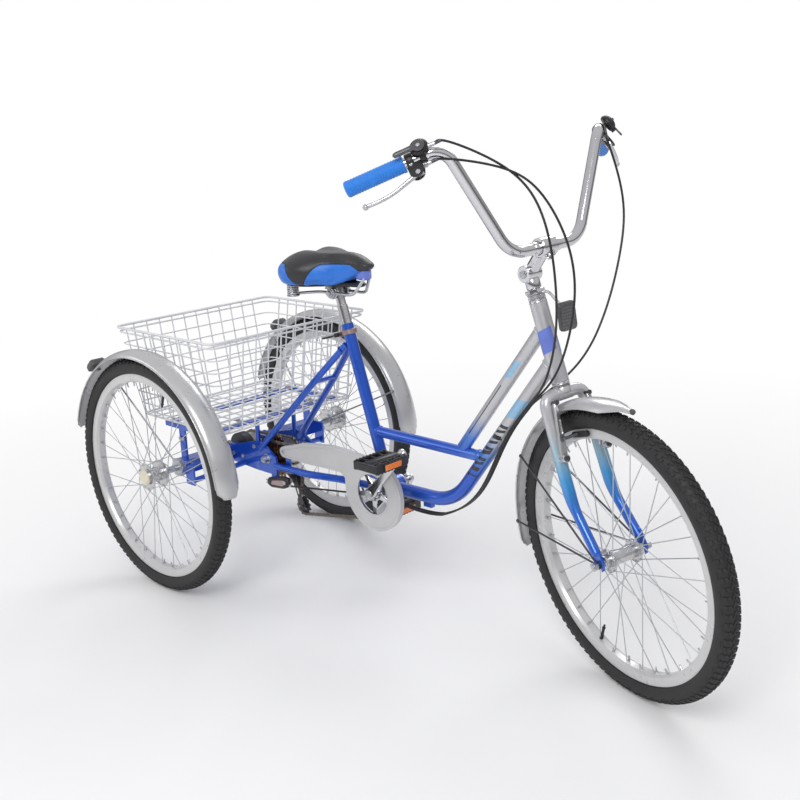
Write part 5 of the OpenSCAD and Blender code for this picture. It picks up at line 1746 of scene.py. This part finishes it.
def cables():
    """Two housings from the right controls and one from the left, bent between the bar and the frame."""
    under_head, under_bend = vec(948, -20, 560), vec(700, -7, 270)
    run = under_bend - under_head
    sides = {"shift_cable": (RIGHT_GRIP, (176, -2, -18)), "right_brake_cable": (RIGHT_GRIP, (158, 19, 0)),
             "left_brake_cable": (LEFT_GRIP, (158, 19, 0))}
    # Waypoints of the loops in front of the head tube, given from the fork crown
    loops = {
        "shift_cable": [(-43, -122, 442), (8, -95, 385), (38, -90, 305), (50, -88, 214),
                        (38, -73, 116), (-10, -42, 18)],
        "right_brake_cable": [(-41, -126, 438), (10, -82, 396), (43, -41, 299), (58, -37, 207),
                              (44, -40, 112), (6, -34, 26)],
        "left_brake_cable": [(-10, 236, 350), (2, 200, 240), (5, 150, 140), (-2, 92, 56), (-26, 34, 4)]}
    ends = {"shift_cable": -5, "right_brake_cable": 0, "left_brake_cable": 9}
    for name, points in loops.items():
        place, local = sides[name]
        start = place @ Vector(local)
        out = place.to_3x3() @ X
        low = under_head + Y * ends[name]
        marks = [start, start + out * 18] + [HEAD + Vector(p) for p in points] + [low
                - run.normalized() * 24, low]
        path = through(marks, 9)
        for _ in range(SMOOTHING_PASSES):
            inside = [(path[i - 1] + path[i] * 2 + path[i + 1]) / 4 for i in range(2, len(path) - 1)]
            path = [*path[:2], *inside, path[-1]]
        shape = Shape()
        shape.tube(path, CABLE_R, 12)
        shape.rod(start - out * 2, start + out * 12, 3.5, 3.0, 16, 1)
        obj = piece(name, shape, None, [M["black"], M["dark_steel"]], None,
                    ("cables",) if name == "shift_cable" else (), 60)
        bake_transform(obj)
    lower = Shape()
    for y in ends.values():
        low = under_head + Y * y
        end = under_bend + Y * y
        below_shell = vec(BB.x + 4, -10 + y * 0.6, BB.z - 25)
        path = [low - run * 0.004, low + run * 0.02]
        path += curve(low + run * 0.05, run * 0.4, vec(150, 0, 60), end, 24)
        path += curve(end, vec(-60, 0, -14), vec(50, 0, -6), below_shell, 12)[1:]
        lower.tube(path, CABLE_R, 10)
    # Loop behind the bottom bracket to the derailleur
    start = vec(BB.x + 4, -12, BB.z - 25)
    lower.tube(curve(start, vec(-90, -6, -6), vec(60, 6, 6), CABLE_ENTRY, 26), CABLE_R, 10)
    for share in (0.28, 0.62):
        p = under_head + run * share + vec(-8, 8, 6)
        ring = [p + vec(0, 12 * cos(t), 0) + DOWN_DIR.cross(Y) * (7 * sin(t))
                for t in np.linspace(0, 2 * pi, 24, False)]
        lower.tube(ring, 1.2, 6, closed=True)
    piece("lower_cable_runs", lower, "frame", M["black"], None, (), 60)


cables()


# ---------------------------------------------------------------- front brake and reflectors

def front_brake():
    """Two cast arms that pinch the rim, each with a window, a cable bolt and a grooved pad."""
    for name, side, body, node in (("left_brake_caliper", 1, "left_arm", "left_brake_arm"),
                                   ("right_brake_caliper", -1, "right_arm", "right_brake_arm")):
        shape = Shape()
        place = STEERED @ Matrix.Scale(side, 4, Y)
        pivot = BRAKE_PIVOT
        top = vec(1030, 40, 592)
        f = HEAD_FWD
        base = pivot + f * 12.4
        up = (top - pivot).normalized()
        shape.revolve([(4.1, 0), (8, 0), (8.4, 1), (8.4, 13.6), (7.6, 14.6), (4.1, 14.6)], base, f, 32, 0,
                      place, closed=True)
        m = basis(pivot + f * 15.2, up, f.cross(up), f)
        arm = [(-6, -6.4), (18, -8.2), (40, -7.6), (70, -5.8), (100, -5.0), (108, -3.6), (111, 0),
               (108, 3.6), (100, 5), (70, 5.8), (40, 7.0), (18, 7.4), (-6, 6.4)]
        window = [(x + 62, y) for x, y in round_rect(26, 4.4, 2)]
        plate(shape, arm, [circle_points(4.15, 20), window], 8.6, m, 0, 1.8, place)
        shape.hexagon(pivot + f * 27.2, f, 9, 4, 1, place)
        shape.rod(top + f * 12, top + f * 27, 3.4, mat=1, sides=16, place=place)
        shape.hexagon(top + f * 26, f, 9, 3.6, 1, place)
        # Pad holder, spacers and the moulded pad
        shape.rod(vec(1084, 47, 536), vec(1092, 24, 541), 3.4, mat=1, sides=16, place=place)
        shape.hexagon(vec(1082.6, 51, 535), vec(-8, 23, -5), 10, 4, 1, place)
        pad = basis(vec(1096, 14.8, 540), vec(0.951, 0, 0.309), vec(-0.309, 0, 0.951), -Y)
        m = pad @ shift(0, 0, -8.6)
        shape.slab(round_rect(50, 11.4, 4), 8.6, m, 2, 1.6, place)
        for k in range(4):
            shape.block((1.4, 12, 2.0), m @ shift(-18 + 12 * k, 0, 7.6), 2, 0.4, 0.4, place)
        piece(name, shape, body, [M["alloy"], M["dark_steel"], M["black"]], None, (node,))


front_brake()


def lens(shape, m, width, height, mat, cell=6.0):
    """Rows of small prisms on the face of a reflector."""
    columns, rows = int(width / cell), int(height / cell)
    r = cell * 0.47
    for i in range(columns):
        for j in range(rows):
            x, y = (i + 0.5 - columns / 2) * cell, (j + 0.5 - rows / 2) * cell
            foot = [m @ vec(x + sx * r, y + sy * r, 0) for sx, sy in ((-1, -1), (1, -1), (1, 1), (-1, 1))]
            tip = m @ vec(x, y, 1.0)
            shape.add([*foot, tip], [(0, 1, 4), (1, 2, 4), (2, 3, 4), (3, 0, 4), (3, 2, 1, 0)], mat)


def reflectors():
    """The front reflector on its bracket below the bar, and one on each rear mudguard."""
    shape = Shape()
    lean = radians(-8)
    up = vec(sin(lean), 0, cos(lean))
    low = vec(1040, 0, 732)
    mid = low + up * 28
    out = Y.cross(up)
    m = basis(mid, Y, up, out)
    shape.slab(round_rect(46, 56, 9), 9.6, m, 0, 2.2)
    shape.slab(round_rect(40, 50, 6.5), 1.4, m @ shift(0, 0, 9.4), 1, 0.5)
    lens(shape, m @ shift(0, 0, 10.7), 37, 46, 1)
    ring_at = HEAD + HEAD_DIR * 191.8
    plate(shape, circle_points(18, 40), [circle_points(STEERER_BORE, 36)], 2.4, aimed(ring_at, HEAD_DIR),
          2, 0.4)
    shape.tube(rounded([ring_at + HEAD_FWD * 16 + HEAD_DIR * 1.2, ring_at + HEAD_FWD * 34
                        + HEAD_DIR * 1.2, mid + up * 14 - out], 9), 3.0, 14, 2)
    shape.hexagon(mid - out * 3.6, out, 9, 4, 2)
    piece("front_reflector_lens", shape, "steering", [M["dark"], M["dark_lens"], M["steel"]],
          BARRED, ("front_reflector",))
    rear = Shape()
    lean = radians(-130)
    for hub in (LEFT_HUB, RIGHT_HUB):
        d = vec(cos(lean), 0, -sin(lean))
        t = vec(sin(lean), 0, cos(lean))
        at = hub + d * (318 + 6.4)
        if t.cross(Y).dot(d) < 0:
            t = -t
        m = basis(at, t, Y, t.cross(Y))
        rear.slab(round_rect(36, 44, 7), 15, m, 0, 2.2)
        rear.slab(round_rect(31, 39, 5), 4, m @ shift(0, 0, 14), 1, 0.6)
        lens(rear, m @ shift(0, 0, 17.8), 29, 37, 1)
        rear.rod(hub + d * 319.6, hub + d * 326, 6, mat=2)
        rear.hexagon(hub + d * 313.4, d, 10, 4, 2)
    piece("rear_reflector_lenses", rear, "frame", [M["dark"], M["dark_lens"], M["steel"]],
          None, ("rear_reflectors",))


reflectors()


# ---------------------------------------------------------------- stage, light, camera

def floor_plane(half):
    mesh = bpy.data.meshes.new("floor")
    mesh.from_pydata([(-half, -half, 0), (half, -half, 0), (half, half, 0), (-half, half, 0)], [],
                     [(0, 1, 2, 3)])
    obj = bpy.data.objects.new("floor", mesh)
    bpy.context.scene.collection.objects.link(obj)
    return obj


def area_light(name, at, target, size, power):
    light = bpy.data.lights.new(name, "AREA")
    light.shape = "RECTANGLE"
    light.size, light.size_y = size
    light.energy = power
    obj = bpy.data.objects.new(name, light)
    bpy.context.scene.collection.objects.link(obj)
    obj.location = at
    obj.rotation_euler = (Vector(target) - Vector(at)).to_track_quat("-Z", "Y").to_euler()


def studio_world():
    """Plain white for the camera; a dimmer room with a bright ceiling for everything else."""
    world = bpy.data.worlds.new("studio")
    bpy.context.scene.world = world
    world.use_nodes = True
    tree = world.node_tree
    room = tree.nodes["Background"]
    direction = add_node(tree, "ShaderNodeTexCoord").outputs["Generated"]
    height = add_node(tree, "ShaderNodeSeparateXYZ")
    tree.links.new(direction, height.inputs["Vector"])
    ramp = add_node(tree, "ShaderNodeValToRGB")
    tones = ((0.0, 0.60), (0.46, 0.50), (0.50, 0.16), (0.58, 0.24), (0.66, 0.70), (1.0, 0.80))
    elements = ramp.color_ramp.elements
    while len(elements) < len(tones):
        elements.new(0.5)
    for i, (at, tone) in enumerate(tones):
        elements[i].position = at
        elements[i].color = (tone, tone, tone * 1.02, 1)
    tree.links.new(remap(tree, height.outputs["Z"], -1, 1), ramp.inputs["Fac"])
    tree.links.new(ramp.outputs["Color"], room.inputs["Color"])
    room.inputs["Strength"].default_value = 0.86
    plain = add_node(tree, "ShaderNodeBackground")
    plain.inputs["Color"].default_value = (1, 1, 1, 1)
    path = add_node(tree, "ShaderNodeLightPath")
    mix = add_node(tree, "ShaderNodeMixShader")
    tree.links.new(path.outputs["Is Camera Ray"], mix.inputs[0])
    tree.links.new(room.outputs[0], mix.inputs[1])
    tree.links.new(plain.outputs[0], mix.inputs[2])
    tree.links.new(mix.outputs[0], tree.nodes["World Output"].inputs["Surface"])


def floor_paint():
    """Matt pale floor that turns into the plain white of the background away from the object."""
    mat, tree, shader = node_setup("floor_white")
    mottle = noise_node(tree, 3, 3)
    tree.links.new(mix_colour(tree, mottle, (0.90, 0.90, 0.905), (0.93, 0.93, 0.93)),
                   shader.inputs["Base Color"])
    shader.inputs["Roughness"].default_value = 0.8
    shader.inputs["Specular IOR Level"].default_value = 0.1
    away = add_node(tree, "ShaderNodeVectorMath", operation="DISTANCE")
    tree.links.new(coords(tree), away.inputs[0])
    away.inputs[1].default_value = (0.55, 0, 0)
    glow = add_node(tree, "ShaderNodeEmission")
    glow.inputs["Color"].default_value = (1, 1, 1, 1)
    mix = add_node(tree, "ShaderNodeMixShader")
    share = remap(tree, away.outputs["Value"], 0.9, 2.6)
    path = add_node(tree, "ShaderNodeLightPath")
    tree.links.new(maths(tree, "MULTIPLY", share, path.outputs["Is Camera Ray"]), mix.inputs[0])
    tree.links.new(shader.outputs[0], mix.inputs[1])
    tree.links.new(glow.outputs[0], mix.inputs[2])
    tree.links.new(mix.outputs[0], tree.nodes["Material Output"].inputs["Surface"])
    return mat


def stage():
    floor = floor_plane(100)
    floor.data.materials.append(floor_paint())
    studio_world()
    target = (0.5, 0, 0.5)
    area_light("key", (2.6, -3.4, 3.6), target, (2.0, 2.0), 98)
    area_light("fill", (-2.6, -3.0, 2.0), target, (3.0, 1.6), 26)
    area_light("back", (-1.0, 3.4, 3.4), target, (3.0, 1.5), 52)
    bpy.context.scene.view_settings.view_transform = "Standard"


def camera():
    """The view of the reference: seen from the front right, a little above the saddle."""
    azimuth, elevation, roll = (radians(a) for a in (44.39, 15.37, -2.57))
    data = bpy.data.cameras.new("camera")
    data.sensor_width = 36
    data.lens = 48.1
    data.clip_start, data.clip_end = 0.05, 60
    obj = bpy.data.objects.new("camera", data)
    bpy.context.scene.collection.objects.link(obj)
    forward = vec(-sin(azimuth) * cos(elevation), cos(azimuth) * cos(elevation), -sin(elevation))
    right = vec(cos(azimuth), sin(azimuth), 0)
    upward = right.cross(forward)
    side = right * cos(roll) + upward * sin(roll)
    top = -right * sin(roll) + upward * cos(roll)
    obj.matrix_world = basis(vec(2.217, -1.679, 1.162), side, top, -forward)
    bpy.context.scene.camera = obj


stage()
camera()
